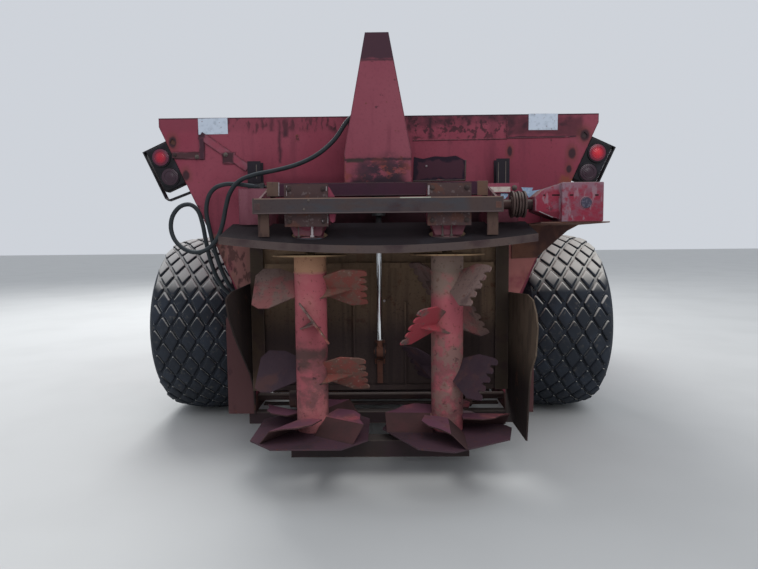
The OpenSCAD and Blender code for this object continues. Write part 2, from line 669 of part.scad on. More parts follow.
// The ragged outer edge: worn teeth with a slanting back, from the lower to the upper corner
toothed_tip = [for (i = [0 : tooth_n - 1]) let (z = i * tooth_p - paddle_h / 2, r = paddle_r - 5 * (i % 2))
    each [[r - tooth_d, z + tooth_gap / 2], [r - 3, z + tooth_gap], [r, z + 0.45 * tooth_p],
        [r - 9, z + 0.75 * tooth_p], [r - tooth_d, z + tooth_p - tooth_gap / 2]]];
plain_tip = [[paddle_r - 36, -paddle_h / 2], [paddle_r, 22 - paddle_h / 2],
    [paddle_r - 2, paddle_h / 2 - 44], [paddle_r - 40, paddle_h / 2]];
gusset_d = 86;
// A flat blade with its top leaning back, held by a gusset below it
module paddle(serrated) rotate([-paddle_pitch, 0, 0]) {
    translate([0, paddle_t / 2, 0]) rotate([90, 0, 0]) linear_extrude(paddle_t) polygon(concat(
        [[paddle_root, -48], [paddle_r - 88, -paddle_h / 2]], serrated ? toothed_tip : plain_tip,
        [[paddle_r - 132, paddle_h / 2], [paddle_root, 75]]));
    translate([0, 0, -10]) linear_extrude(paddle_t)
        polygon([[paddle_root - 14, 0], [paddle_r - 70, 0], [paddle_root - 20, gusset_d]]);
}
// Each paddle is a row: distance below the top of the tube, angle and whether its tip has teeth
paddles_r = [[142, 117, true], [142, 297, true], [350, 46, true], [350, 226, true],
    [607, 128, true], [607, 308, true]];
paddles_l = [[167, 0, false], [167, 180, true], [324, 79, true], [324, 259, true],
    [617, 8, false], [617, 188, true]];
module paddle_set(rows) translate([beater_x, -beater_y, 0]) difference() {
    for (p = rows) translate([0, 0, beater_top - p[0]]) rotate([0, 0, p[1]]) paddle(p[2]);
    bar_z(0, 0, disc_z, beater_top, beater_d + 0.3);
    bar_z(0, 0, collar_z - 0.3, collar_z + collar_h + 0.3, collar_d + 0.6);
}
module paddles_right() color(rust_brown) machine() paddle_set(paddles_r);
module paddles_left() color(rust_brown) machine() mirror([1, 0, 0]) paddle_set(paddles_l);

module gate_guides() color(mud_brown) machine() both() {
    box(guide_out - guide_t, guide_out, -guide_d, 0, gate_z, guide_top);
    box(guide_in, guide_out - guide_t, -guide_d, -guide_d + guide_t, gate_z, guide_top);
    box(guide_in, guide_out - guide_t, -guide_t, 0, gate_z, guide_top);
}

gate_hw = guide_out - guide_t - 6;
gate_rib = 30;
gate_rib_top = gate_top - 460;
gate_bar_z = gate_top - 260;
lug_z = 700;
module gate() color(mud_brown) machine() {
    difference() {
        union() {
            box(-gate_hw, gate_hw, gate_y, gate_y + gate_t, gate_z, gate_top);
            for (x = [-150, 150]) box(x - 5, x + 5, gate_y - gate_rib, gate_y, gate_z + 20, gate_rib_top);
            for (z = [gate_z, gate_bar_z, gate_top - gate_rib])
                box(-guide_in + 12, guide_in - 12, gate_y - gate_rib, gate_y, z, z + gate_rib);
            box(-6, 6, gate_y - gate_rib + 5, gate_y, gate_z + 68, lug_z - 62);
            for (x = [-29, 19]) yz(x, x + 10) polygon([
                [gate_y, lug_z - 60], [rod_y - 10, lug_z - 25], [rod_y - 20, lug_z],
                [rod_y - 10, lug_z + 25], [gate_y, lug_z + 40]]);
        }
        bar_x(-30, 30, rod_y, lug_z, pin_d + 2 * fit);
    }
}
module rod() color(chrome) machine() {
    bar_z(0, rod_y, lug_z + 20, cyl_bottom + 60, rod_d);
    bar_z(0, rod_y, cyl_bottom + 60, cyl_bottom + 100, cyl_d - 2 * cyl_wall - 2 * fit);
    difference() {
        bar_x(-18, 18, rod_y, lug_z, 60);
        bar_x(-19, 19, rod_y, lug_z, pin_d + 2 * fit);
    }
    bar_x(-34, 34, rod_y, lug_z, pin_d);
}
port_x = cyl_d / 2 + 12;
cyl_eye_z = cyl_top + 30;
module cylinder_body() {
    bar_z(0, rod_y, cyl_bottom, cyl_top, cyl_d);
    bar_x(-port_x, 0, return_y, return_z, 22);
    bar_x(-port_x - 12, 0, rod_y, port_z + 16, 20);
    bar_z(-port_x - 6, rod_y, port_z, port_z + 26, 24);
    bar_x(-16, 16, rod_y, cyl_eye_z, 66);
    bar_z(0, rod_y, cyl_top, cyl_eye_z - 10, 32);
}
module cylinder_node() color(oil_black) machine() difference() {
    cylinder_body();
    bar_z(0, rod_y, cyl_bottom + 59, cyl_top - 12, cyl_d - 2 * cyl_wall);
    bar_z(0, rod_y, cyl_bottom - 1, cyl_bottom + 61, rod_d + 2 * fit);
    bar_x(-17, 17, rod_y, cyl_eye_z, pin_d + 2 * fit);
}

function tower_x(z) = z <= tower_knee ? tower_w / 2
    : tower_w / 2 + (tower_top_w - tower_w) / 2 * (z - tower_knee) / (tower_top - tower_knee);
tower_front = -95;
hose_hole_d = 70;
hose_hole_z = port_z - 168;
module tower_outline(inset) polygon([
    [-tower_x(tower_base_z) + inset, tower_base_z], [tower_x(tower_base_z) - inset, tower_base_z],
    [tower_x(tower_knee) - inset, tower_knee], [tower_x(tower_top) - inset, tower_top],
    [-tower_x(tower_top) + inset, tower_top], [-tower_x(tower_knee) + inset, tower_knee]]);
module tower() color(paint_red) machine() {
    difference() {
        xz(-tower_y, tower_front) tower_outline(0);
        translate([0, 0, -1]) xz(-tower_y + tower_t, tower_front + 1) tower_outline(tower_t);
        bar_x(-tower_w / 2, -60, rod_y - 25, hose_hole_z, hose_hole_d);
    }
    box(-tower_x(tower_top), tower_x(tower_top), -tower_y, tower_front, tower_top - tower_t, tower_top);
    both() box(24, tower_x(cyl_eye_z) - tower_t / 2, rod_y - 20, rod_y + 20,
        cyl_eye_z - 20, cyl_eye_z + 20);
    bar_x(-30, 30, rod_y, cyl_eye_z, pin_d);
}

module tower_beam() color(rust_brown) machine() difference() {
    box(-bracket_in + plate_t, bracket_in - plate_t, -tower_y, -tower_y + tower_beam_d,
        tower_base_z - tower_beam_h, tower_base_z);
    box(-bracket_in, bracket_in, -tower_y + 6, -tower_y + tower_beam_d - 6,
        tower_base_z - tower_beam_h + 6, tower_base_z - 6);
}

slope_a = atan(slope_k);
// The frame of the sloping side: X away from the side, Z up along it
module on_slope(z) translate([slope_x(z), 0, z]) rotate([0, slope_a, 0]) children();
module lamp() {
    on_slope(lamp_z) {
        difference() {
            box(0.5, lamp_w, 0, 70, -lamp_l / 2, lamp_l / 2);
            for (s = [-1, 1]) bar_y(lamp_w / 2, -1, 12, s * 62, lens_d + 4);
        }
        xz(10, 60) polygon([
            [0.5, -lamp_l / 2 - 60], [lamp_w + 10, -lamp_l / 2 - 50], [lamp_w + 22, -lamp_l / 2 - 30],
            [lamp_w + 22, lamp_l / 2 + 8], [0.5, lamp_l / 2 + 8], [0.5, lamp_l / 2],
            [lamp_w + 14, lamp_l / 2], [lamp_w + 14, -lamp_l / 2 - 30], [lamp_w + 6, -lamp_l / 2 - 42],
            [0.5, -lamp_l / 2 - 52]]);
    }
}
module lens() on_slope(lamp_z) for (s = [-1, 1]) bar_y(lamp_w / 2, -8, 12, s * 62, lens_d);
module lamp_right() color(oil_black) machine() lamp();
module lamp_left() color(oil_black) machine() mirror([1, 0, 0]) lamp();
module lens_right() color(lens_red) machine() lens();
module lens_left() color(lens_red) machine() mirror([1, 0, 0]) lens();

strand_x = 520;
chain_t = 18;
slat_n = 14;
slat_pitch = (apron_front - apron_rear - 120) / (slat_n - 1);
slat_hw = trough_hw - 14;
module loop_outline(r) {
    translate([apron_rear, apron_z]) circle(r = r);
    translate([apron_front, apron_z]) circle(r = r);
    translate([apron_rear, apron_z - r]) square([apron_front - apron_rear, 2 * r]);
}
module apron() color(steel_brown) machine() {
    both() yz(strand_x, strand_x + 40) difference() {
        loop_outline(apron_r + chain_t / 2);
        loop_outline(apron_r - chain_t / 2);
    }
    for (i = [0 : slat_n - 1]) let (y = apron_rear + 60 + i * slat_pitch) {
        box(-slat_hw, slat_hw, y - 25, y + 25, apron_z + apron_r - 8, apron_z + apron_r + 2);
        box(-slat_hw, slat_hw, y - 25, y - 17, apron_z + apron_r + 2, apron_z + apron_r + 14);
        box(-slat_hw, slat_hw, y - 25, y + 25, apron_z - apron_r - 8, apron_z - apron_r + 2);
        box(-slat_hw, slat_hw, y + 17, y + 25, apron_z - apron_r - 20, apron_z - apron_r - 8);
    }
}
module apron_shafts() color(steel_brown) machine() for (y = [apron_rear, apron_front]) {
    bar_x(-wall_x, wall_x, y, apron_z, 44);
    both() bar_x(strand_x + 6, strand_x + 34, y, apron_z, 2 * (apron_r - chain_t / 2) - 1);
}

hose_d = 25;
// Points of the hose from the upper port of the cylinder, round the slack loop
lift_route = [
    [-port_x - 6, rod_y, port_z - 0.1], [-port_x - 6, rod_y, port_z - 24], [-60, -134, port_z - 55],
    [-80, -142, port_z - 107], [-120, -152, port_z - 154], [-172, -162, port_z - 202],
    [-236, -170, 1905], [-319, -172, 1831],
    [-412, -168, 1782], [-505, -165, 1752], [-600, -160, 1732], [-691, -155, 1715], [-780, -150, 1682],
    [-835, -145, 1620], [-866, -130, 1540], [-890, -115, 1450], [-925, -105, 1365], [-980, -100, 1305],
    [-1050, -98, 1282], [-1120, -96, 1300], [-1175, -92, 1350], [-1200, -86, 1420], [-1190, -80, 1492],
    [-1148, -72, 1546], [-1092, -62, 1558], [-1050, -50, 1520], [-1030, -38, 1440], [-1018, -25, 1340],
    [-1002, -10, 1240], [-980, 10, 1150], [-948, 35, 1075], [-908, 62, 1020],
    [line_rows[0][0], line_y, line_top + 24], [line_rows[0][0], line_y, line_top + 0.1]
];
// Points of the hose from behind the left bracket
return_route = [
    [return_x - 0.1, return_y, return_z], [return_x - 24, return_y, return_z], [-705, -146, 1652],
    [-765, -126, 1662], [-820, -98, 1670], [-880, -85, 1670],
    [-940, -78, 1650], [-982, -70, 1600], [-1000, -60, 1520], [-992, -45, 1430], [-975, -30, 1330],
    [-955, -10, 1230], [-930, 15, 1140], [-900, 42, 1070], [-862, 64, 1015],
    [line_rows[1][0], line_y, line_top + 24], [line_rows[1][0], line_y, line_top + 0.1]
];
function unit(v) = v / norm(v);
function tangent(p, i) = unit(p[min(i + 1, len(p) - 1)] - p[max(i - 1, 0)]);
function side_dir(t) = unit(cross(t, abs(t[1]) < 0.8 ? [0, 1, 0] : [1, 0, 0]));
function ring(p, t, d, n) = let (a = side_dir(t), b = cross(t, a))
    [for (k = [0 : n - 1]) p + d / 2 * (cos(360 * k / n) * a + sin(360 * k / n) * b)];
// Points between the hand placed ones, on a smooth curve through them
function spline(p, m) = [for (i = [0 : len(p) - 2]) for (j = [0 : m - 1])
    let (a = p[max(i - 1, 0)], b = p[i], c = p[i + 1], d = p[min(i + 2, len(p) - 1)], t = j / m)
    0.5 * (2 * b + (c - a) * t + (2 * a - 5 * b + 4 * c - d) * pow(t, 2)
        + (3 * b - a - 3 * c + d) * pow(t, 3))];
// The whole route: its first and last stretches stay straight
function inner(p) = [for (i = [1 : len(p) - 2]) p[i]];
function route(p, m) = concat([p[0]], spline(inner(p), m), [p[len(p) - 2], p[len(p) - 1]]);
module tube_along(p, d, n = 8) {
    rings = [for (i = [0 : len(p) - 1]) each ring(p[i], tangent(p, i), d, n)];
    last = (len(p) - 1) * n;
    polyhedron(points = rings, faces = concat(
        [[for (k = [0 : n - 1]) k]],
        [for (i = [0 : len(p) - 2]) for (k = [0 : n - 1]) let (q = (k + 1) % n)
            [i * n + k, (i + 1) * n + k, (i + 1) * n + q, i * n + q]],
        [[for (k = [0 : n - 1]) last + n - 1 - k]]));
}
module hose_lift() color(oil_black) machine() tube_along(route(lift_route, 2), hose_d);
module hose_return() color(oil_black) machine() tube_along(route(return_route, 2), hose_d);

module oil_lines() color(steel_brown) machine() {
    for (r = line_rows) {
        bar_z(r[0], line_y, r[1], line_top, line_d);
        bar_z(r[0], line_y, line_top - 50, line_top - 1, line_d + 12);
        bar_x(r[0], -line_x, line_y, r[1], line_d);
        bar_y(-line_x, line_y, box_len - 20, r[1], line_d);
    }
    box(-end_plate_x, -wall_x, line_y - 20, line_y + 20, knee_z - 30, knee_z - 18);
    bar_x(return_x, -port_x, return_y, return_z, 14);
}

floor_pan();
side_left();
side_right();
front_wall();
rear_panel();
top_rails();
stakes_left();
stakes_right();
rail_left();
rail_right();
cross_members();
end_plate_left();
end_plate_right();
axle();
rim_left();
rim_right();
tyre_left();
tyre_right();
front_beam();
tongue_left();
tongue_right();
hitch();
jack_tube();
jack_leg();
pto_shaft();
drive_case();
side_shaft();
shaft_bearings();
cross_shaft();
drive_guard();
drive_bracket();
beater_beam();
gearbox_left();
gearbox_right();
hood();
hood_brackets();
sill();
shield_left();
shield_right();
beater_left();
beater_right();
paddles_left();
paddles_right();
gate_guides();
gate();
rod();
cylinder_node();  // cylinder
tower();
tower_beam();
lamp_left();
lamp_right();
lens_left();
lens_right();
apron();
apron_shafts();
hose_lift();
hose_return();
oil_lines();
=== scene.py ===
import math

import bpy
from mathutils import Matrix, Vector


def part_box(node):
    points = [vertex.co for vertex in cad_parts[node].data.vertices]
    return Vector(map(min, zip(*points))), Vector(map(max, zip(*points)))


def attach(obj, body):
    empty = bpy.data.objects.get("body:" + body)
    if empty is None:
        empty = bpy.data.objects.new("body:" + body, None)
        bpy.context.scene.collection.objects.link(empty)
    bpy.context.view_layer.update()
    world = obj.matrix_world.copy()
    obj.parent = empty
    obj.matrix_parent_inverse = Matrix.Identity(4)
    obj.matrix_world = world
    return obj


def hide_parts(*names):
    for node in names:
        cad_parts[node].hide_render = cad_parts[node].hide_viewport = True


# Looks of a single axle manure spreader with two upright beaters, seen from behind.
# Metres. X to the right, Y forward to the tongue, Z up. The origin is on the ground.

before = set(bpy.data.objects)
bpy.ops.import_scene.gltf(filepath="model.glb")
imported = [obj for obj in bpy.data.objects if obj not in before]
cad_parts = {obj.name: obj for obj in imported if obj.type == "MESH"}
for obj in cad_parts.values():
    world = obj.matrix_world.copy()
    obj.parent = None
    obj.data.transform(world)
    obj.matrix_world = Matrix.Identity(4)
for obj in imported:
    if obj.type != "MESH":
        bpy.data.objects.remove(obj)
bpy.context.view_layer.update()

# The straps stand out from the rear panel, so its own rear face lies that much further forward.
STRAP_T = 0.008
PANEL_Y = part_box("rear_panel")[0].y + STRAP_T


def at(x, behind, z):
    """A point given in millimetres: X, the distance forward of the rear panel's rear face, and Z."""
    return Vector((x / 1000, PANEL_Y + behind / 1000, z / 1000))


# The right beater's axis in millimetres, and the radius of a beater's tube in metres
BEATER_X = 358
BEATER_BEHIND = -400
BEATER_AXIS = at(BEATER_X, BEATER_BEHIND, 0)
TUBE_R = 0.084

# Camera

CAMERA_PLACE = at(31, -3379, 1341)
CAMERA_YAW = math.radians(0.57)
CAMERA_PITCH = math.radians(-4.43)
CAMERA_ROLL = math.radians(-0.55)
CAMERA_LENS = 27.05


def make_camera():
    data = bpy.data.cameras.new("camera")
    data.sensor_width = 36
    data.lens = CAMERA_LENS
    camera = bpy.data.objects.new("camera", data)
    bpy.context.scene.collection.objects.link(camera)
    turn = (
        Matrix.Rotation(CAMERA_YAW, 4, "Z")
        @ Matrix.Rotation(math.pi / 2 + CAMERA_PITCH, 4, "X")
        @ Matrix.Rotation(CAMERA_ROLL, 4, "Z")
    )
    camera.matrix_world = Matrix.Translation(CAMERA_PLACE) @ turn
    bpy.context.scene.camera = camera


make_camera()


# Small helpers for modelling

def nothing_selected():
    if bpy.context.object and bpy.context.object.mode != "OBJECT":
        bpy.ops.object.mode_set(mode="OBJECT")
    bpy.ops.object.select_all(action="DESELECT")


def only(piece):
    nothing_selected()
    piece.select_set(True)
    bpy.context.view_layer.objects.active = piece


def settle(piece):
    """Puts the piece's place into its mesh, so that its object sits at the origin."""
    only(piece)
    bpy.ops.object.transform_apply(location=True, rotation=True, scale=True)


def apply_all(piece):
    only(piece)
    for modifier in list(piece.modifiers):
        bpy.ops.object.modifier_apply(modifier=modifier.name)


def joined(name, pieces):
    nothing_selected()
    for piece in pieces:
        piece.select_set(True)
    bpy.context.view_layer.objects.active = pieces[0]
    if len(pieces) > 1:
        bpy.ops.object.join()
    pieces[0].name = name
    return pieces[0]


def copied(piece, matrix):
    """A copy of a settled piece with a mesh of its own, put elsewhere by the matrix."""
    other = piece.copy()
    other.data = piece.data.copy()
    bpy.context.scene.collection.objects.link(other)
    other.data.transform(matrix)
    return other


def dressed(piece, body, finish, smooth=None):
    """Gives a finished piece its body, material and slot."""
    settle(piece)
    if smooth is not None:
        bpy.ops.object.shade_smooth_by_angle(angle=math.radians(smooth))
    piece.data.materials.clear()
    piece.data.materials.append(finish)
    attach(piece, body)
    return piece


def bevel_all(width, steps=2):
    """Rounds every edge of the active piece."""
    bpy.ops.object.mode_set(mode="EDIT")
    bpy.ops.mesh.select_all(action="SELECT")
    bpy.ops.mesh.bevel(offset=width, segments=steps, affect="EDGES")
    bpy.ops.object.mode_set(mode="OBJECT")


def bevel_marked(piece, width, marked):
    """Rounds the edges for whose two ends the test is true, and those of faces left selected."""
    for e in piece.data.edges:
        a, b = (piece.data.vertices[v].co for v in e.vertices)
        e.select = marked(a, b)
    bpy.ops.object.mode_set(mode="EDIT")
    bpy.ops.mesh.select_mode(type="EDGE")
    bpy.ops.mesh.bevel(offset=width, segments=2, affect="EDGES")
    bpy.ops.object.mode_set(mode="OBJECT")


def block(name, low, high, edge=0.0, steps=2):
    """A block between two corners, with its edges rounded by a bevel."""
    nothing_selected()
    bpy.ops.mesh.primitive_cube_add(size=1, location=(low + high) / 2)
    piece = bpy.context.object
    piece.name = name
    piece.scale = high - low
    settle(piece)
    if edge:
        bevel_all(edge, steps)
    return piece


AXIS_TURN = {
    "X": Matrix.Rotation(math.pi / 2, 4, "Y"),
    "Y": Matrix.Rotation(math.pi / 2, 4, "X"),
    "Z": Matrix.Identity(4),
}
LEVEL = 1e-6


def drum(name, centre, radius, length, axis="Z", sides=32, edge=0.0):
    """A round bar about its centre, with its rims rounded by a bevel."""
    nothing_selected()
    bpy.ops.mesh.primitive_cylinder_add(vertices=sides, radius=radius, depth=length)
    piece = bpy.context.object
    piece.name = name
    if edge:
        bpy.ops.object.mode_set(mode="EDIT")
        bpy.ops.mesh.select_all(action="DESELECT")
        bpy.ops.object.mode_set(mode="OBJECT")
        bevel_marked(piece, edge, lambda a, b: abs(a.z - b.z) < LEVEL)
    piece.data.transform(Matrix.Translation(centre) @ AXIS_TURN[axis])
    return piece


def hoop(name, centre, radius, thick, steps=8):
    """A ring of round bar that faces backwards, given by its middle line and the bar's radius."""
    nothing_selected()
    bpy.ops.mesh.primitive_torus_add(major_radius=radius, minor_radius=thick, major_segments=56,
                                     minor_segments=steps)
    piece = bpy.context.object
    piece.name = name
    piece.data.transform(Matrix.Translation(centre) @ AXIS_TURN["Y"])
    return piece


# Colours, as they show in plain light

def linear(text):
    """A colour of six hex digits as the linear values that a shader takes."""
    parts = [int(text[i:i + 2], 16) / 255 for i in (0, 2, 4)]
    return tuple(c / 12.92 if c <= 0.04045 else ((c + 0.055) / 1.055) ** 2.4 for c in parts) + (1.0,)


PAINT = "803344"
PAINT_FADED = "8a4452"
PAINT_DARK = "5b2634"
RUST = "5f3a2c"
RUST_ORANGE = "7c4a2e"
RUST_DARK = "35252a"
SOOT = "2b2229"
STEEL_BROWN = "4f4041"
MUD = "4f4036"
MUD_GREY = "665953"
MUD_DARK = "292221"
DUST = "8d847d"
CHROME = "e4e6e8"
RUBBER = "2a2e35"
RUBBER_DUST = "6b675f"
HOSE_BLACK = "282d31"
BOX_BLACK = "141317"
LENS_RED = "9e0a28"
LENS_RIM = "4d1530"
LENS_DARK = "2c0d20"
VINYL = "bcc6d4"
TEAL = "3f515c"

# How strongly rough and smooth finishes shine, and the sockets of a Mix node
MATT = 0.22
GLOSSY = 0.5
VALUE_A, VALUE_B = 2, 3
COLOUR_A, COLOUR_B = 6, 7


class Finish:
    """A material built in layers over Object coordinates, as paint, rust and dirt lie on steel."""

    def __init__(self, name, colour, roughness, metallic=0.0):
        self.material = bpy.data.materials.new(name)
        self.material.use_nodes = True
        self.tree = self.material.node_tree
        self.shader = self.tree.nodes["Principled BSDF"]
        self.shader.inputs["Metallic"].default_value = metallic
        self.shader.inputs["Roughness"].default_value = roughness
        self.shader.inputs["Specular IOR Level"].default_value = MATT if roughness > 0.5 else GLOSSY
        self.shader.inputs["Base Color"].default_value = linear(colour)
        self.place = self.make("ShaderNodeTexCoord").outputs["Object"]

    def make(self, kind, settings=None, **values):
        node = self.tree.nodes.new(kind)
        for key, value in (settings or {}).items():
            setattr(node, key, value)
        for key, value in values.items():
            self.feed(node.inputs[key.replace("_", " ").title()], value)
        return node

    def feed(self, socket, value):
        if isinstance(value, bpy.types.NodeSocket):
            self.tree.links.new(value, socket)
        elif isinstance(value, str):
            socket.default_value = linear(value)
        else:
            socket.default_value = value

    def sum_up(self, operation, a, b=0.0, c=0.0):
        node = self.tree.nodes.new("ShaderNodeMath")
        node.operation = operation
        for socket, value in zip(node.inputs, (a, b, c)):
            self.feed(socket, value)
        return node.outputs[0]

    def noise(self, scale, detail=4.0, stretch=(1, 1, 1), shift=(0, 0, 0), roughness=0.55):
        """A cloudy value from 0 to 1. The stretch is how fast it changes along each axis."""
        spread = self.make("ShaderNodeMapping", scale=stretch, location=shift, vector=self.place)
        cloud = self.make("ShaderNodeTexNoise", vector=spread.outputs[0], scale=scale, detail=detail,
                          roughness=roughness)
        return cloud.outputs[0]

    def ramp(self, value, low, high):
        """0 below low, 1 above high and smooth between them; low may be above high."""
        node = self.make("ShaderNodeMapRange", {"interpolation_type": "SMOOTHSTEP"}, value=value)
        self.feed(node.inputs["From Min"], low)
        self.feed(node.inputs["From Max"], high)
        return node.outputs["Result"]

    def times(self, a, b):
        return self.sum_up("MULTIPLY", a, b)

    def coordinate(self, axis):
        return self.make("ShaderNodeSeparateXYZ", vector=self.place).outputs["XYZ".index(axis)]

    def inside(self, low, high, soft=0.02, ragged=0.0, grain=12.0):
        """1 in the box between two corners, 0 outside it, its border torn by a noise."""
        where = self.place
        if ragged:
            cloud = self.make("ShaderNodeTexNoise", vector=self.place, scale=grain, detail=5.0)
            shift = self.make("ShaderNodeVectorMath", {"operation": "SUBTRACT"})
            self.feed(shift.inputs[0], cloud.outputs[1])
            shift.inputs[1].default_value = (0.5, 0.5, 0.5)
            moved = self.make("ShaderNodeVectorMath", {"operation": "MULTIPLY_ADD"})
            self.feed(moved.inputs[0], shift.outputs[0])
            moved.inputs[1].default_value = (ragged, ragged, ragged)
            self.feed(moved.inputs[2], self.place)
            where = moved.outputs[0]
        low, high = Vector(low), Vector(high)
        away = self.make("ShaderNodeVectorMath", {"operation": "SUBTRACT"})
        self.feed(away.inputs[0], where)
        away.inputs[1].default_value = (low + high) / 2
        size = self.make("ShaderNodeVectorMath", {"operation": "ABSOLUTE"})
        self.feed(size.inputs[0], away.outputs[0])
        past = self.make("ShaderNodeVectorMath", {"operation": "SUBTRACT"})
        self.feed(past.inputs[0], size.outputs[0])
        past.inputs[1].default_value = (high - low) / 2
        parts = self.make("ShaderNodeSeparateXYZ", vector=past.outputs[0]).outputs
        furthest = self.sum_up("MAXIMUM", self.sum_up("MAXIMUM", parts[0], parts[1]), parts[2])
        return self.ramp(furthest, soft, -soft)

    def between(self, depth, across, upright, *border):
        """1 between two Y, two X and two Z. The border is the soft, ragged and grain of inside()."""
        (y0, y1), (x0, x1), (z0, z1) = depth, across, upright
        return self.inside((x0, y0, z0), (x1, y1, z1), *border)

    def oval(self, centre, wide, high, soft=0.3, torn=0.4):
        """1 in an upright oval on a face that looks backwards, 0 outside it, its border torn by a noise."""
        away = self.make("ShaderNodeVectorMath", {"operation": "SUBTRACT"})
        self.feed(away.inputs[0], self.place)
        away.inputs[1].default_value = centre
        share = self.make("ShaderNodeVectorMath", {"operation": "MULTIPLY"})
        self.feed(share.inputs[0], away.outputs[0])
        share.inputs[1].default_value = (2 / wide, 0, 2 / high)
        far = self.make("ShaderNodeVectorMath", {"operation": "LENGTH"})
        self.feed(far.inputs[0], share.outputs[0])
        ragged = self.sum_up("MULTIPLY_ADD", self.noise(40.0, 4.0), torn, -torn / 2)
        return self.ramp(self.sum_up("ADD", far.outputs["Value"], ragged), 1 + soft, 1 - soft)

    def edges(self, width):
        """1 along the outer edges, where paint wears through."""
        rounded = self.make("ShaderNodeBevel", {"samples": 3}, radius=width)
        surface = self.tree.nodes.new("ShaderNodeNewGeometry")
        meet = self.make("ShaderNodeVectorMath", {"operation": "DOT_PRODUCT"})
        self.feed(meet.inputs[0], rounded.outputs[0])
        self.feed(meet.inputs[1], surface.outputs["Normal"])
        turned = self.sum_up("SUBTRACT", 1.0, meet.outputs["Value"])
        worn = self.times(turned, self.ramp(self.noise(35.0, 3.0), 0.3, 0.65))
        return self.ramp(worn, 0.01, 0.09)

    def facing_up(self, low=0.3, high=0.8):
        surface = self.tree.nodes.new("ShaderNodeNewGeometry")
        parts = self.make("ShaderNodeSeparateXYZ", vector=surface.outputs["Normal"]).outputs
        return self.ramp(parts[2], low, high)

    def blend(self, factor, first, second):
        node = self.tree.nodes.new("ShaderNodeMix")
        node.data_type = "RGBA"
        self.feed(node.inputs[0], factor)
        self.feed(node.inputs[COLOUR_A], first)
        self.feed(node.inputs[COLOUR_B], second)
        return node.outputs[2]

    def layer(self, mask, colour, roughness=None, amount=1.0):
        """Lays a colour over what is there, where the mask is 1."""
        if amount != 1.0:
            mask = self.times(mask, amount)
        base = self.shader.inputs["Base Color"]
        below = base.links[0].from_socket if base.links else tuple(base.default_value)
        self.feed(base, self.blend(mask, below, colour))
        if roughness is not None:
            gloss = self.shader.inputs["Roughness"]
            below = gloss.links[0].from_socket if gloss.links else gloss.default_value
            node = self.tree.nodes.new("ShaderNodeMix")
            self.feed(node.inputs[0], mask)
            self.feed(node.inputs[VALUE_A], below)
            self.feed(node.inputs[VALUE_B], roughness)
            self.feed(gloss, node.outputs[0])

    def relief(self, height, depth, strength=1.0):
        """Raises the surface by the height, whose full range is the depth in metres."""
        normal = self.shader.inputs["Normal"]
        bump = self.make("ShaderNodeBump", height=height, strength=strength, distance=depth)
        if normal.links:
            self.feed(bump.inputs["Normal"], normal.links[0].from_socket)
        self.feed(normal, bump.outputs[0])

    def away_from_tubes(self):
        """0 on the beater tubes and 1 outside them."""
        x = self.sum_up("SUBTRACT", self.sum_up("ABSOLUTE", self.coordinate("X")), BEATER_AXIS.x)
        y = self.sum_up("SUBTRACT", self.coordinate("Y"), BEATER_AXIS.y)
        far = self.sum_up("SQRT", self.sum_up("ADD", self.times(x, x), self.times(y, y)))
        return self.ramp(far, TUBE_R + 0.002, TUBE_R + 0.008)

    def rust_tone(self, scale=18.0):
        return self.blend(self.ramp(self.noise(scale, 6.0), 0.35, 0.68), RUST_DARK, RUST_ORANGE)


def faded_paint(name, paint=PAINT, faded=PAINT_FADED, rust=0.62, edge=0.012):
    """Old oil paint: chalky in places, with runs of dirt, rust freckles and edges worn to brown."""
    f = Finish(name, paint, 0.6)
    f.layer(f.ramp(f.noise(1.7, 3.0), 0.4, 0.66), faded, 0.72, 0.75)
    f.layer(f.ramp(f.noise(2.3, 5.0, (5, 5, 0.7)), 0.5, 0.75), PAINT_DARK, 0.66, 0.6)
    f.layer(f.ramp(f.noise(70.0, 2.0), 0.5, 0.8), PAINT_DARK, None, 0.28)
    blotch = f.ramp(f.noise(7.5, 8.0, (1, 1, 0.7), roughness=0.66), rust, rust + 0.05)
    f.layer(blotch, f.rust_tone(), 0.88)
    freckle = f.ramp(f.noise(46.0, 3.0), 0.7, 0.74)
    f.layer(freckle, RUST, 0.9, 0.8)
    f.layer(f.edges(edge), RUST_DARK, 0.85, 0.85)
    f.layer(f.facing_up(), DUST, 0.95, 0.35)
    f.relief(blotch, 0.0012, 0.5)
    f.relief(f.noise(120.0, 2.0), 0.0004, 0.35)
    return f


def rusted_steel(name, base=STEEL_BROWN, orange=RUST_ORANGE, dusty=0.4, paint=None, edge=0.01):
    """Bare steel gone brown, with orange bloom, dark scale and dust."""
    f = Finish(name, base, 0.82)
    f.layer(f.ramp(f.noise(2.6, 5.0, (1.5, 1.5, 0.8)), 0.4, 0.72), orange, 0.9, 0.5)
    f.layer(f.ramp(f.noise(5.5, 7.0), 0.48, 0.66), RUST_DARK, 0.8, 0.7)
    if paint:
        f.layer(f.ramp(f.noise(4.0, 8.0, shift=(3, 1, 7), roughness=0.7), 0.55, 0.6), paint, 0.65, 0.9)
    f.layer(f.ramp(f.noise(60.0, 3.0), 0.55, 0.75), RUST_DARK, None, 0.4)
    f.layer(f.edges(edge), MUD_GREY, 0.6, 0.5)
    f.layer(f.facing_up(), DUST, 0.95, dusty)
    f.relief(f.noise(38.0, 8.0, roughness=0.7), 0.0016, 0.7)
    return f


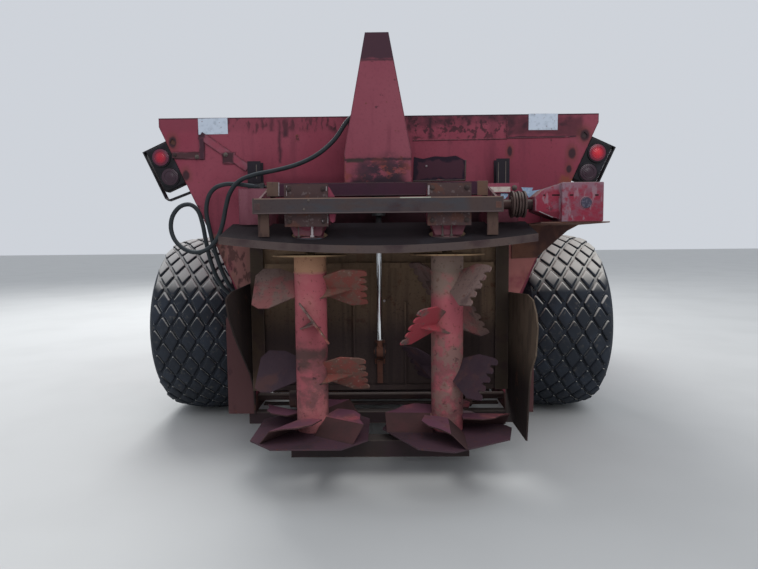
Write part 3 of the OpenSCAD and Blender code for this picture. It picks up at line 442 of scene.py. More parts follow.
def caked_steel(name, base=MUD, light=MUD_GREY, paint=None, streak=0.6):
    """Steel under a dried crust of manure, scraped and washed in streaks."""
    f = Finish(name, base, 0.93)
    f.layer(f.ramp(f.noise(3.1, 6.0, (2.2, 2.2, 0.8)), 0.42, 0.7), light, 0.96, 0.55)
    f.layer(f.ramp(f.noise(2.1, 5.0, (7, 7, 0.5)), 0.5, 0.7), RUST_DARK, 0.9, streak)
    f.layer(f.ramp(f.noise(9.0, 7.0, roughness=0.7), 0.58, 0.66), RUST, 0.88, 0.6)
    if paint:
        f.layer(f.ramp(f.noise(3.4, 7.0, shift=(5, 2, 1), roughness=0.68), 0.5, 0.58), paint, 0.7, 0.85)
    f.layer(f.ramp(f.noise(75.0, 3.0), 0.56, 0.72), MUD_DARK, None, 0.5)
    crust = f.noise(22.0, 9.0, roughness=0.72)
    f.relief(crust, 0.004, 0.65)
    return f


# Paint, rust and marks of the panel and the tower

PANEL = (PANEL_Y - 0.02, PANEL_Y + 0.02)
TOWER = (PANEL_Y - 0.3, PANEL_Y)

# Dark bolt heads, by X, Z, width and height in millimetres
PANEL_SPOTS = (
    (-1204, 1926, 44, 66), (-1132, 1732, 40, 58), (1203, 1939, 52, 66),
    (1130, 1837, 42, 60), (1113, 1746, 30, 42), (767, 1852, 28, 56),
)

# Runs of rusty water below the top edge, by X, lower end and width in metres
PANEL_RUNS = ((-0.575, 1.80, 0.016), (-0.54, 1.95, 0.03), (-0.62, 1.98, 0.02), (0.305, 1.93, 0.02))

# Dark rust on the straps, by its ends in X and in Z in millimetres, and its colour
STRAP_MARKS = (
    (-1210, -1047, 1828, 1866, "3c2c2d"), (-1047, -1016, 1822, 1946, "33242d"),
    (-1052, -1008, 1946, 1992, SOOT), (-912, -846, 1800, 1862, "33262a"),
)


def panel_finish():
    """The rear panel: a welded patch and rust band on its right, drips and dark straps on its left."""
    f = faded_paint("panel_paint", rust=0.66)
    rust_band(f)
    drips(f)
    low_rust(f)
    spots(f)
    other_tones(f)
    straps(f)
    patch(f)
    return f.material


def rust_band(f):
    """The rust along the panel's upper right, with a dark seam below its outer half."""
    f.layer(f.between(PANEL, (0.18, 0.80), (2.008, 2.08), 0.03, 0.14, 9.0), SOOT, 0.9, 0.75)
    band = f.between(PANEL, (0.752, 1.19), (1.935, 2.055), 0.02, 0.09, 7.0)
    f.layer(band, "43292f", 0.9, 0.75)
    f.layer(f.times(band, f.ramp(f.noise(15.0, 6.0, (0.6, 1, 1)), 0.5, 0.62)), SOOT, 0.9, 0.6)
    f.layer(f.between(PANEL, (0.752, 1.15), (1.929, 1.937), 0.004, 0.016, 14.0), SOOT, 0.9, 0.85)


def drips(f):
    """Runs and specks of rust below the top edge, and the dark edge itself."""
    for x, bottom, width in PANEL_RUNS:
        run = f.between(PANEL, (x - width / 2, x + width / 2), (bottom, 2.05), 0.012, 0.03, 20.0)
        f.layer(run, SOOT, 0.9, 0.8)
    left = f.between(PANEL, (-0.9, 0.2), (1.99, 2.06), 0.03, 0.1)
    f.layer(f.times(left, f.ramp(f.noise(30.0, 4.0, (1, 1, 0.4)), 0.5, 0.6)), RUST_DARK, 0.9)
    right = f.between(PANEL, (0.2, 0.75), (1.93, 2.05), 0.04, 0.1)
    f.layer(f.times(right, f.ramp(f.noise(26.0, 5.0), 0.5, 0.58)), RUST_DARK, 0.9)
    f.layer(f.between(PANEL, (-1.3, 1.3), (2.056, 2.08), 0.003, 0.006), SOOT, 0.9, 0.75)


def low_rust(f):
    """The rusted lower part, and painted shade over the stretch behind the beaters' drive."""
    low = f.between(PANEL, (-1.0, 1.0), (0.98, 1.38), 0.05, 0.1)
    streaks = f.ramp(f.noise(5.0, 7.0, (4, 4, 0.6), roughness=0.7), 0.46, 0.6)
    f.layer(f.times(low, streaks), f.rust_tone(24.0), 0.9, 0.9)
    # Painted shade: a near-black stretch of the panel behind the beaters' drive.
    f.layer(f.between(PANEL, (-0.60, 0.60), (1.38, 1.535), 0.02, 0.05), "241a1e", 0.9, 0.9)


def spots(f):
    """Dark bolt heads, each in the middle of a stain."""
    for x, z, wide, high in PANEL_SPOTS:
        f.layer(f.oval(at(x, 0, z), wide / 600, high / 600, 0.6), RUST, 0.9, 0.45)
        f.layer(f.oval(at(x, 0, z), wide / 1000, high / 1000), "33262c", 0.9, 0.9)


def other_tones(f):
    """A rusty corner by the guard, brown and pink lower ends, and painted shadow on the paint by the tower,
    under the hoses.
    """
    corner = f.between(PANEL, (1.066, 1.150), (1.650, 1.708), 0.02, 0.07, 16.0)
    f.layer(f.times(corner, f.ramp(f.noise(24.0, 6.0), 0.36, 0.5)), RUST_ORANGE, 0.9, 0.7)
    left = f.between(PANEL, (-1.1, -0.74), (0.98, 1.385), 0.01)
    f.layer(f.times(left, f.ramp(f.noise(3.0, 5.0), 0.3, 0.5)), "86625a", 0.9, 0.75)
    f.layer(f.times(left, f.ramp(f.noise(28.0, 6.0, (1, 1, 0.5)), 0.52, 0.6)), "3d2a2b", 0.9, 0.7)
    f.layer(f.between(PANEL, (-1.3, -0.30), (1.985, 2.07), 0.02, 0.02), "6d3340", 0.7, 0.35)
    right = f.between(PANEL, (0.74, 1.1), (0.98, 1.385), 0.01)
    f.layer(f.times(right, f.ramp(f.noise(3.4, 5.0), 0.3, 0.5)), "b4746e", 0.85, 0.85)
    # Painted shadow: a darker patch left of the tower, below where the hoses run.
    f.layer(f.between(PANEL, (-0.60, -0.15), (1.630, 1.712), 0.03, 0.05, 8.0), "5a1e2e", 0.7, 0.55)


def straps(f):
    """The straps stand furthest back on the panel: pale along the slanting one, dark rust on the others."""
    raised = f.ramp(f.coordinate("Y"), PANEL_Y - 0.0055, PANEL_Y - 0.0065)
    f.layer(f.times(raised, f.ramp(f.noise(9.0, 5.0), 0.35, 0.6)), "84525e", 0.8, 0.8)
    for x0, x1, z0, z1, colour in STRAP_MARKS:
        f.layer(f.inside(at(x0, -20, z0), at(x1, 5, z1), 0.008, 0.02, 25.0), colour, 0.9, 0.88)


def patch(f):
    """The welded patch right of the tower: dark brown, blackened round its torn border."""
    standing = f.ramp(f.coordinate("Y"), PANEL_Y - 0.0025, PANEL_Y - 0.0032)
    plate = f.times(standing, f.between(PANEL, (0.190, 0.525), (1.680, 1.840), 0.004))
    f.layer(plate, "3e2833", 0.9, 0.93)
    middle = f.between(PANEL, (0.225, 0.490), (1.700, 1.800), 0.02, 0.07, 16.0)
    f.layer(f.times(plate, f.ramp(middle, 0.7, 0.2)), "201a27", 0.9, 0.85)


TOWER_CAP = 2.31
TOWER_WELD = 1.772
TOWER_FOOT = 1.60


def tower_finish():
    """The tower: sound paint between a rusted cap and a sooty, scorched foot."""
    f = faded_paint("tower_paint", paint="803d4b", faded="874854", rust=0.7)
    wide = (-0.3, 0.3)
    f.layer(f.between(TOWER, wide, (TOWER_CAP, 2.5), 0.008, 0.03, 20.0), "3b2a33", 0.85, 0.92)
    weld = f.between(TOWER, wide, (TOWER_CAP - 0.010, TOWER_CAP - 0.002), 0.006, 0.012, 40.0)
    f.layer(weld, SOOT, 0.8, 0.8)
    weld = f.between(TOWER, wide, (TOWER_WELD, TOWER_WELD + 0.014), 0.006, 0.02, 30.0)
    f.layer(weld, RUST_DARK, 0.85, 0.9)
    scorched_foot(f)
    chipped = f.between(TOWER, (-0.02, 0.12), (1.8, 2.32), 0.05, 0.1)
    chips = f.ramp(f.noise(19.0, 7.0, (1, 1, 1.5), shift=(7, 0, 2)), 0.66, 0.7)
    f.layer(f.times(chipped, chips), SOOT, 0.9, 0.85)
    return f.material


def scorched_foot(f):
    """The tower's foot: rust, blots of soot over it, a dark lower rim and a grey stretch of weld."""
    rusty = f.between(TOWER, (-0.2, 0.2), (TOWER_FOOT, TOWER_WELD + 0.003), 0.03, 0.05)
    f.layer(f.times(rusty, f.ramp(f.noise(13.0, 7.0), 0.46, 0.6)), "7a3f30", 0.9, 0.7)
    sooty = f.between(TOWER, (-0.11, 0.14), (TOWER_FOOT + 0.02, TOWER_WELD + 0.008), 0.05, 0.12, 9.0)
    blots = f.ramp(f.noise(17.0, 8.0, (1, 1, 1.6), roughness=0.72), 0.38, 0.5)
    f.layer(f.times(sooty, blots), "332a33", 0.9, 0.92)
    rim = f.between(TOWER, (-0.14, 0.14), (TOWER_FOOT, TOWER_FOOT + 0.072), 0.02, 0.07, 14.0)
    f.layer(rim, "2c2029", 0.9, 0.85)
    grey = f.between(TOWER, (-0.17, -0.08), (TOWER_WELD - 0.008, TOWER_WELD + 0.010), 0.006, 0.01, 30.0)
    f.layer(grey, "3a3330", 0.9, 0.9)


def guard_finish():
    """The drive guard: newer red, scuffed to pink and grey over its faces, edges and seam."""
    f = Finish("guard_paint", "802538", 0.55)
    f.layer(f.ramp(f.noise(10.0, 8.0, (1, 1, 1.5), roughness=0.72), 0.46, 0.60), "75505c", 0.75, 0.7)
    f.layer(f.ramp(f.noise(24.0, 6.0, (1.6, 1, 0.5), shift=(2, 0, 3)), 0.57, 0.65), "8f828a", 0.8, 0.45)
    f.layer(f.ramp(f.noise(13.0, 6.0, shift=(4, 4, 4)), 0.62, 0.68), RUST_DARK, 0.85, 0.75)
    rear = PANEL_Y - 0.6
    worn = f.ramp(f.noise(30.0, 6.0), 0.4, 0.58)
    seam = f.between((rear, PANEL_Y - 0.4), (0.915, 0.957), (1.42, 1.62), 0.008, 0.03, 18.0)
    f.layer(f.times(seam, worn), "806872", 0.8, 0.85)
    brow = f.between((rear, PANEL_Y), (0.78, 1.2), (1.588, 1.64), 0.012, 0.03, 12.0)
    f.layer(f.times(brow, worn), "7f6571", 0.8, 0.7)
    f.layer(f.between((rear, PANEL_Y - 0.3), (0.79, 0.918), (1.42, 1.478), 0.006), "5d1c2a", 0.6, 0.8)
    f.layer(f.edges(0.008), "8d7f88", 0.7, 0.6)
    f.layer(f.facing_up(), DUST, 0.95, 0.5)
    f.relief(f.noise(60.0, 4.0), 0.0008, 0.5)
    return f.material


def plug_finish():
    """The guard's plug: blue grey, pitted, with a brighter ring worn round it."""
    f = Finish("plug_grey", "3c3949", 0.7)
    f.layer(f.ramp(f.noise(90.0, 4.0), 0.5, 0.6), "5d5765", 0.8, 0.8)
    f.layer(f.ramp(f.noise(50.0, 5.0, shift=(3, 1, 1)), 0.6, 0.66), "352630", 0.85, 0.8)
    f.layer(f.edges(0.004), "94808c", 0.7, 0.9)
    f.relief(f.noise(150.0, 4.0), 0.0006, 0.6)
    return f.material


def gearbox_finish():
    """The beater gearboxes: a grimy mounting plate over a red casting."""
    f = faded_paint("gearbox_paint", paint="7a3c49", rust=0.6)
    grime = f.between((PANEL_Y - 0.6, PANEL_Y - 0.497), (-1, 1), (1.40, 1.64), 0.004)
    f.layer(grime, "443736", 0.85, 0.94)
    f.layer(f.times(grime, f.ramp(f.noise(14.0, 7.0), 0.5, 0.62)), "5c3c33", 0.9, 0.7)
    f.layer(f.times(grime, f.ramp(f.noise(45.0, 4.0), 0.58, 0.66)), "6b5f5f", 0.9, 0.6)
    return f.material


ANY_Y = (-9, 9)
LEFT_TUBE = (-0.5, -0.2)
CAP_PLATE = 1.262
COLLAR_WELD = 1.172
DISC_TOP = 0.338
SCOOP_TOP = 0.445


def beater_finish():
    """The beaters: tan rust at the top of a tube, worn red in the middle, dark mud lower down."""
    f = Finish("beater_paint", "a0535b", 0.7)
    f.layer(f.ramp(f.noise(4.0, 6.0), 0.42, 0.6), "aa6d6c", 0.8, 0.7)
    tube_tops(f)
    tube_mud(f)
    f.layer(f.ramp(f.noise(14.0, 8.0, (1, 1, 1.3), roughness=0.7), 0.61, 0.66), RUST_DARK, 0.9, 0.7)
    throwing_discs(f)
    f.relief(f.noise(30.0, 8.0, roughness=0.7), 0.002, 0.6)
    return f.material


def tube_tops(f):
    """Tan rust over the tubes' ends, brown cap plates and a rusty weld on the left."""
    for x, colour in ((-BEATER_AXIS.x, "ab8468"), (BEATER_AXIS.x, "84756b")):
        top = f.between(ANY_Y, (x - 0.1, x + 0.1), (COLLAR_WELD + 0.004, 1.30), 0.008, 0.03, 15.0)
        f.layer(top, colour, 0.9, 0.9)
    f.layer(f.ramp(f.coordinate("Z"), CAP_PLATE - 0.004, CAP_PLATE), "80694f", 0.9, 0.97)
    weld = f.between(ANY_Y, LEFT_TUBE, (COLLAR_WELD, COLLAR_WELD + 0.010), 0.003, 0.01, 30.0)
    f.layer(weld, "a9756a", 0.8, 0.8)


def tube_mud(f):
    """Grey mud high on the right tube, brown mud low on both, a dark band on the left one."""
    mud = f.between(ANY_Y, (0.2, 0.6), (1.06, 1.2), 0.03, 0.1)
    f.layer(f.times(mud, f.ramp(f.noise(8.0, 6.0), 0.35, 0.5)), "7b6c62", 0.95, 0.9)
    low = f.ramp(f.coordinate("Z"), 0.92, 0.55)
    f.layer(f.times(low, f.ramp(f.noise(6.0, 8.0, roughness=0.7), 0.36, 0.56)), "6b494a", 0.95, 0.9)
    grime = f.between(ANY_Y, LEFT_TUBE, (0.60, 0.80), 0.04, 0.10, 6.0)
    f.layer(f.times(grime, f.ramp(f.noise(7.0, 6.0, (0.7, 1, 1.4)), 0.36, 0.54)), "4a3d3a", 0.95, 0.88)
    caked = f.between(ANY_Y, (0.2, 0.5), (0.40, 0.85), 0.04, 0.06)
    f.layer(f.times(caked, f.ramp(f.noise(20.0, 7.0), 0.45, 0.56)), "7a645d", 0.95, 0.75)


def throwing_discs(f):
    """Dark discs, partly their brown grey and partly painted shade; on the scoops that stand on them the
    ramps are brown and the lids purple red.
    """
    height = f.coordinate("Z")
    # The discs' dark brown grey is partly their colour and partly painted shade.
    f.layer(f.ramp(height, DISC_TOP + 0.007, DISC_TOP), "3f3138", 0.85, 0.95)
    f.layer(f.ramp(f.noise(55.0, 3.0), 0.58, 0.7), RUST, 0.9, 0.5)
    scoops = f.times(f.ramp(height, DISC_TOP - 0.001, DISC_TOP + 0.002),
                     f.ramp(height, SCOOP_TOP + 0.015, SCOOP_TOP))
    ramps = f.times(scoops, f.ramp(f.facing_up(0.9, 0.98), 0.6, 0.4))
    f.layer(f.times(ramps, f.away_from_tubes()), "3c2b2b", 0.9, 0.92)
    lids = f.times(f.times(scoops, f.facing_up(0.9, 0.98)), f.ramp(f.noise(5.0, 6.0), 0.35, 0.55))
    f.layer(lids, "6a4355", 0.75, 0.9)


def paddle_finish():
    """The paddles: grey and rusty at the top, one with bright new paint, dark maroon paint at the bottom
    darkened further with painted shade.
    """
    f = caked_steel("paddle_caked", base="6d5853", light="7d6a66", paint="7d4a4a", streak=0.5)
    low = f.ramp(f.coordinate("Z"), 0.86, 0.76)
    # Dark maroon paint at the bottom, darkened with painted shade.
    f.layer(low, "32252f", 0.8, 0.92)
    f.layer(f.times(low, f.ramp(f.noise(8.0, 7.0), 0.52, 0.66)), "4c3534", 0.9, 0.8)
    rusty = f.between(ANY_Y, (-0.30, -0.02), (0.50, 1.30), 0.01)
    f.layer(rusty, "74564b", 0.9, 0.8)
    f.layer(f.times(rusty, f.ramp(f.noise(16.0, 7.0, roughness=0.7), 0.44, 0.56)), "83453f", 0.85, 0.8)
    f.layer(f.times(rusty, f.ramp(f.noise(42.0, 5.0), 0.6, 0.68)), "8d7a70", 0.9, 0.7)
    fresh = f.between((PANEL_Y - 0.8, PANEL_Y - 0.4), (0.04, 0.32), (0.79, 1.03), 0.02, 0.06, 9.0)
    f.layer(f.times(fresh, f.ramp(f.noise(9.0, 7.0, roughness=0.7), 0.4, 0.5)), "9c3f48", 0.55, 0.95)
    return f.material


def gate_finish():
    """The gate: olive brown and streaked, with painted light brightening its top and painted shade
    darkening it nearly to black below.
    """
    f = caked_steel("gate_caked", base="745f4e", light="826d58", streak=0.35)
    # Painted light brightening the top of the gate.
    f.layer(f.ramp(f.coordinate("Z"), 1.05, 1.2), "8a725c", 0.95, 0.5)
    # Painted shade darkening the lower gate nearly to black.
    f.layer(f.ramp(f.coordinate("Z"), 1.02, 0.74), "31282c", 0.92, 0.85)
    f.layer(f.ramp(f.noise(1.6, 5.0, (9, 9, 0.35)), 0.56, 0.66), "2e2626", 0.9, 0.4)
    return f.material


def hood_finish():
    """The hood: its top dark with damp rust, its hanging lip a lighter grey brown."""
    f = rusted_steel("hood_steel", base="504442", orange="5b473e", dusty=0.0, edge=0.004)
    top = f.facing_up(0.4, 0.7)
    f.layer(top, "1f1a1e", 0.85, 0.94)
    f.layer(f.times(top, f.ramp(f.noise(3.0, 6.0), 0.55, 0.7)), "2f2c31", 0.9, 0.8)
    return f.material


def rod_finish():
    """The piston rod: bright chrome between a rusted clevis and a dark, dull stretch of painted shade above
    the hood.
    """
    f = Finish("rod_chrome", CHROME, 0.14, 1.0)
    low = f.ramp(f.coordinate("Z"), 0.775, 0.765)
    painted_shade_top = f.ramp(f.coordinate("Z"), 1.37, 1.385)
    f.layer(f.ramp(f.noise(14.0, 6.0, (1, 1, 0.3)), 0.6, 0.7), "8c8a86", 0.4, 0.6)
    f.layer(low, RUST, 0.9)
    # Painted shade: the upper rod made dark and dull, not metallic.
    f.layer(painted_shade_top, "1d1a1d", 0.9)
    f.feed(f.shader.inputs["Metallic"], f.sum_up("SUBTRACT", 1.0, f.sum_up("MAXIMUM", low, painted_shade_top)))
    f.relief(f.times(low, f.noise(30.0, 7.0)), 0.002, 0.7)
    return f.material


def hose_finish():
    f = Finish("hose_rubber", HOSE_BLACK, 0.55)
    f.layer(f.ramp(f.noise(18.0, 4.0), 0.5, 0.7), "343a3c", 0.7, 0.7)
    f.layer(f.facing_up(), "747a7d", 0.8, 0.5)
    f.relief(f.noise(300.0, 2.0), 0.0003, 0.4)
    return f.material


def tyre_finish():
    """Tyre rubber gone grey, with pale dust and a painted highlight on what faces up, greyer on the left
    tyre.
    """
    f = Finish("tyre_rubber", RUBBER, 0.82)
    f.layer(f.ramp(f.noise(5.0, 6.0), 0.42, 0.68), "353b45", 0.88, 0.7)
    f.layer(f.ramp(f.noise(26.0, 6.0, roughness=0.7), 0.55, 0.7), RUBBER_DUST, 0.95, 0.45)
    # What faces up gets pale dust and a painted highlight, toned down on the left tyre.
    dusty = f.facing_up(0.38, 0.68)
    f.layer(dusty, "d8d4cc", 0.95, 0.93)
    f.layer(f.times(dusty, f.ramp(f.coordinate("X"), 0.1, -0.1)), "a3a4a6", 0.95, 0.6)
    f.relief(f.noise(90.0, 5.0), 0.0008, 0.6)
    return f.material


def plain_finish(name, colour, light, roughness, scale=14.0, metallic=0.0, grain=120.0):
    """A small part's finish: two tones that drift into each other under a fine grain."""
    f = Finish(name, colour, roughness, metallic)
    f.layer(f.ramp(f.noise(scale, 5.0), 0.42, 0.68), light, min(1.0, roughness + 0.12), 0.7)
    f.relief(f.noise(grain, 3.0), 0.0004, 0.5)
    return f.material


# The lamps stand along the sloping sides, a little further up them than the CAD lenses

LENS_LOW, LENS_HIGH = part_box("lens_right")
LENS_MIDDLE = (LENS_LOW + LENS_HIGH) / 2
LENS_D = 0.102
LENS_GAP = 0.124
LAMP_TILT = math.acos((LENS_HIGH.z - LENS_LOW.z - LENS_D) / LENS_GAP)
LAMP_LIFT = 0.029
LAMP_ALONG = Vector((math.sin(LAMP_TILT), 0, math.cos(LAMP_TILT)))
LAMP_MIDDLE = Vector((LENS_MIDDLE.x, PANEL_Y, LENS_MIDDLE.z)) + LAMP_ALONG * LAMP_LIFT
LENS_UPPER = LAMP_MIDDLE + LAMP_ALONG * LENS_GAP / 2


def lens_finish():
    """Lens plastic: the upper lens of each lamp has painted light, a bright red patch with a faint emission
    and a painted highlight at the right lamp's middle; the lower one is dull.
    """
    f = Finish("lens_plastic", LENS_DARK, 0.3)
    f.layer(f.ramp(f.coordinate("Z"), LAMP_MIDDLE.z - 0.002, LAMP_MIDDLE.z + 0.002), LENS_RIM, 0.25)
    left = f.oval(LENS_UPPER * Vector((-1, 1, 1)), 0.058, 0.064, 0.6, 0.1)
    right = f.oval(LENS_UPPER, 0.074, 0.078, 0.4, 0.1)
    # Painted light: bright red patches on the upper lenses, with a faint emission.
    painted_glow = f.sum_up("MAXIMUM", left, right)
    f.layer(painted_glow, LENS_RED, 0.2)
    # Painted highlight at the middle of the right upper lens.
    painted_core = f.oval(LENS_UPPER, 0.04, 0.04, 0.9, 0.1)
    f.layer(painted_core, "d62b36", 0.2, 0.8)
    f.feed(f.shader.inputs["Emission Color"], f.blend(painted_glow, "000000", LENS_RED))
    f.shader.inputs["Emission Strength"].default_value = 0.09
    waves = f.make("ShaderNodeTexWave", {"bands_direction": "DIAGONAL"}, vector=f.place, scale=45.0)
    f.relief(waves.outputs[1], 0.001, 0.5)
    return f.material


def lamp_finish():
    """The lamps' black boxes and guards: dull paint, worn pale along the edges."""
    f = Finish("lamp_black", BOX_BLACK, 0.6)
    f.layer(f.ramp(f.noise(14.0, 5.0), 0.42, 0.68), "2a2931", 0.7, 0.7)
    f.layer(f.edges(0.003), "77767e", 0.6, 0.6)
    f.layer(f.facing_up(0.5, 0.9), "564a47", 0.9, 0.7)
    f.relief(f.noise(120.0, 3.0), 0.0004, 0.5)
    return f.material


POST_X = (0.545, 0.604)
POST_Y = (PANEL_Y - 0.515, PANEL_Y - 0.495)


def bracket_finish():
    """The hood's side brackets: faded red, with posts behind the beam gone brown."""
    f = faded_paint("bracket_paint", paint="743e4a", faded="7f505b", rust=0.58)
    for ends in ((-POST_X[1], -POST_X[0]), POST_X):
        post = f.between(POST_Y, ends, (1.36, 1.56), 0.002)
        f.layer(post, "54443b", 0.9, 0.92)
        f.layer(f.times(post, f.ramp(f.noise(12.0, 6.0, (3, 1, 0.6)), 0.5, 0.64)), "3a2c2b", 0.9, 0.8)
    return f.material


def beam_finish():
    """The beam: brown steel rubbed bluish in its middle, with a pale upper edge and a painted glint on its
    right half.
    """
    f = rusted_steel("beam_steel", base="433a3b", orange="4d3c36", dusty=0.3)
    middle = f.inside(at(-430, -560, 1484), at(430, -540, 1542), 0.03, 0.06)
    f.layer(f.times(middle, f.ramp(f.noise(6.0, 5.0, (1, 1, 3)), 0.4, 0.6)), "3a3f46", 0.75, 0.75)
    f.layer(f.inside(at(-610, -560, 1548), at(610, -530, 1560), 0.001, 0.003), "7d675c", 0.8, 0.85)
    f.layer(f.inside(at(-610, -560, 1470), at(610, -530, 1482), 0.001, 0.003), "5e5050", 0.8, 0.7)
    # Painted highlight: a glint along the top edge, right of the middle.
    f.layer(f.inside(at(110, -560, 1548), at(262, -530, 1560), 0.001, 0.004), "a9aa9c", 0.6, 0.9)
    return f.material


def guide_finish():
    """The gate guides: olive brown below, their tops black where the gate's grease has run."""
    f = rusted_steel("guide_steel", base="41372f", orange="4d3a2c", dusty=0.3)
    f.layer(f.ramp(f.coordinate("Z"), 1.44, 1.5), "242029", 0.8, 0.9)
    return f.material


def plate_finish():
    """The end plates: brown red under the rear panel, darker and muddier down by the tyres."""
    f = faded_paint("plate_paint", paint="66443f", faded="78524a", rust=0.57)
    f.layer(f.ramp(f.coordinate("Z"), 1.05, 0.85), "4b3134", 0.85, 0.8)
    f.layer(f.edges(0.006), "6d4b44", 0.85, 0.6)
    return f.material


def shield_finish():
    """The side shields: a dark crust, darkened further with painted shade, with a lighter olive crust
    higher up on the right.
    """
    # The dark base is partly the crust and partly painted shade.
    f = caked_steel("shield_caked", base="2e2524", light="3a302b")
    dry = f.times(f.ramp(f.coordinate("X"), 0.0, 0.1), f.ramp(f.coordinate("Z"), 0.55, 0.8))
    f.layer(dry, "6a5b4d", 0.95, 0.85)
    f.layer(f.times(dry, f.ramp(f.noise(7.0, 7.0, (1, 2, 0.7)), 0.46, 0.62)), "4a3f36", 0.95, 0.7)
    return f.material


def vinyl_finish():
    """Blank, sun bleached sticker vinyl with grime in its corners."""
    f = Finish("sticker_vinyl", VINYL, 0.45)
    f.layer(f.ramp(f.noise(30.0, 5.0), 0.48, 0.7), "9aa5b2", 0.6, 0.7)
    f.layer(f.ramp(f.noise(60.0, 6.0, shift=(2, 0, 5)), 0.62, 0.7), "6e5a5e", 0.8, 0.8)
    f.layer(f.edges(0.004), "8b8f96", 0.7, 0.9)
    f.relief(f.noise(90.0, 3.0), 0.0003, 0.4)
    return f.material


BODY_PAINT = faded_paint("body_paint", rust=0.64).material
CHASSIS_RUST = rusted_steel("chassis_rust", base="4a322e", paint="5c2f36").material
PLATE_RUST = plate_finish()
DARK_STEEL = rusted_steel("dark_steel", base="3f3539").material
DARK_BEAM = rusted_steel("tower_beam_steel", base="402535", orange="4a2a34").material
SHELF_RUST = rusted_steel("shelf_rust", base="69483c", orange="805340").material
LUG_BROWN = rusted_steel("lug_brown", base="54372f", orange="6b4334", dusty=0.25, edge=0.004).material
POST_BROWN = rusted_steel("post_brown", base="57453d", orange="6b4a38", dusty=0.3, edge=0.004).material
# The sill's steel, darkened almost to black with painted shade.
SILL_SHADED_STEEL = rusted_steel("sill_shaded_steel", base="2d2626", orange="3d2a24", dusty=0.2).material
SHAFT_STEEL = rusted_steel("shaft_steel", base="3f3130", orange="553527").material
FLANGE_TEAL = rusted_steel("flange_teal", base=TEAL, orange="5b4a48", dusty=0.3, edge=0.006).material
RED_BAR = faded_paint("bar_paint", paint="8c3c50", faded="9c5464", rust=0.68, edge=0.006).material
NECK_PAINT = faded_paint("neck_paint", paint="6f434b", faded="8a6068", rust=0.58, edge=0.006).material
CAKED = caked_steel("caked_steel").material
GUARD_PAINT = guard_finish()
SHIELD_CAKED = shield_finish()
LAMP_BLACK = lamp_finish()
PLUG_GREY = plug_finish()
HOSE_RUBBER = hose_finish()
STICKER = vinyl_finish()
LABEL_BLUE = plain_finish("label_scrap", "8fa9c6", "c3d0de", 0.6, 60.0)
LABEL_CREAM = plain_finish("label_cream", "c9bdb4", "a8958f", 0.6, 50.0)
# Pale grey for worn metal and for painted glints on plate edges.
WEAR_AND_GLINT = plain_finish("wear_and_glint", "8f8588", "6d6366", 0.5, 60.0)
# A paler grey for painted glints on a stud and a nut.
PALE_GLINT = plain_finish("pale_glint", "b9aeb0", "8d8384", 0.5, 60.0)
BOX_PAINT = plain_finish("box_black", BOX_BLACK, "29262c", 0.55)
SLOT_BLACK = plain_finish("slot_black", "120e11", "1d171a", 0.9)
CYLINDER_PAINT = plain_finish("cylinder_black", "24262a", "3a3836", 0.5)
ZINC = plain_finish("zinc_plated", "8d9296", "a8abad", 0.45, metallic=0.8)
FERRULE_STEEL = plain_finish("ferrule_steel", "3a3c40", "57524d", 0.6, metallic=0.4)
BOLT_STEEL = plain_finish("bolt_steel", "5d5450", "7d736c", 0.6, metallic=0.5)
DARK_BOLT = plain_finish("dark_bolt", "3d3232", "5a4a45", 0.7, metallic=0.3)

# What each CAD node shows. The nodes that are not named here are in the body's paint.

NODE_FINISH = {
    "rear_panel": panel_finish(),
    "tower": tower_finish(),
    "drive_guard": GUARD_PAINT,
    "drive_case": GUARD_PAINT,
    "gearbox_left": gearbox_finish(),
    "rod": rod_finish(),
    "tyre_left": tyre_finish(),
    "lens_left": lens_finish(),
    "beater_left": beater_finish(),
    "hood": hood_finish(),
    "hood_brackets": bracket_finish(),
    "beater_beam": beam_finish(),
    "tower_beam": DARK_BEAM,
    "drive_bracket": SHELF_RUST,
    "gate": gate_finish(),
    "gate_guides": guide_finish(),
    "floor_pan": CAKED,
    "apron": DARK_STEEL,
    "apron_shafts": SHAFT_STEEL,
    "axle": CHASSIS_RUST,
    "hitch": DARK_STEEL,
    "jack_leg": ZINC,
    "pto_shaft": ZINC,
    "side_shaft": SHAFT_STEEL,
    "cross_shaft": SHAFT_STEEL,
    "shaft_bearings": BOX_PAINT,
    "sill": SILL_SHADED_STEEL,
    "cylinder": CYLINDER_PAINT,
    "oil_lines": CYLINDER_PAINT,
    "cross_members": CHASSIS_RUST,
    "rail_left": CHASSIS_RUST,
    "end_plate_left": PLATE_RUST,
    "rim_left": PLATE_RUST,
    "shield_left": SHIELD_CAKED,
    "paddles_left": paddle_finish(),
    "lamp_left": LAMP_BLACK,
}
for stem in ("gearbox", "tyre", "lens", "beater", "rail", "end_plate", "rim", "shield", "paddles", "lamp"):
    NODE_FINISH[stem + "_right"] = NODE_FINISH[stem + "_left"]


def finish_nodes():
    """Gives every CAD node that shows its finish."""
    for name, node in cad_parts.items():
        node.data.materials.clear()
        node.data.materials.append(NODE_FINISH.get(name, BODY_PAINT))


finish_nodes()


# Hoses. Each point is X, the distance forward of the rear panel, and Z, in millimetres.

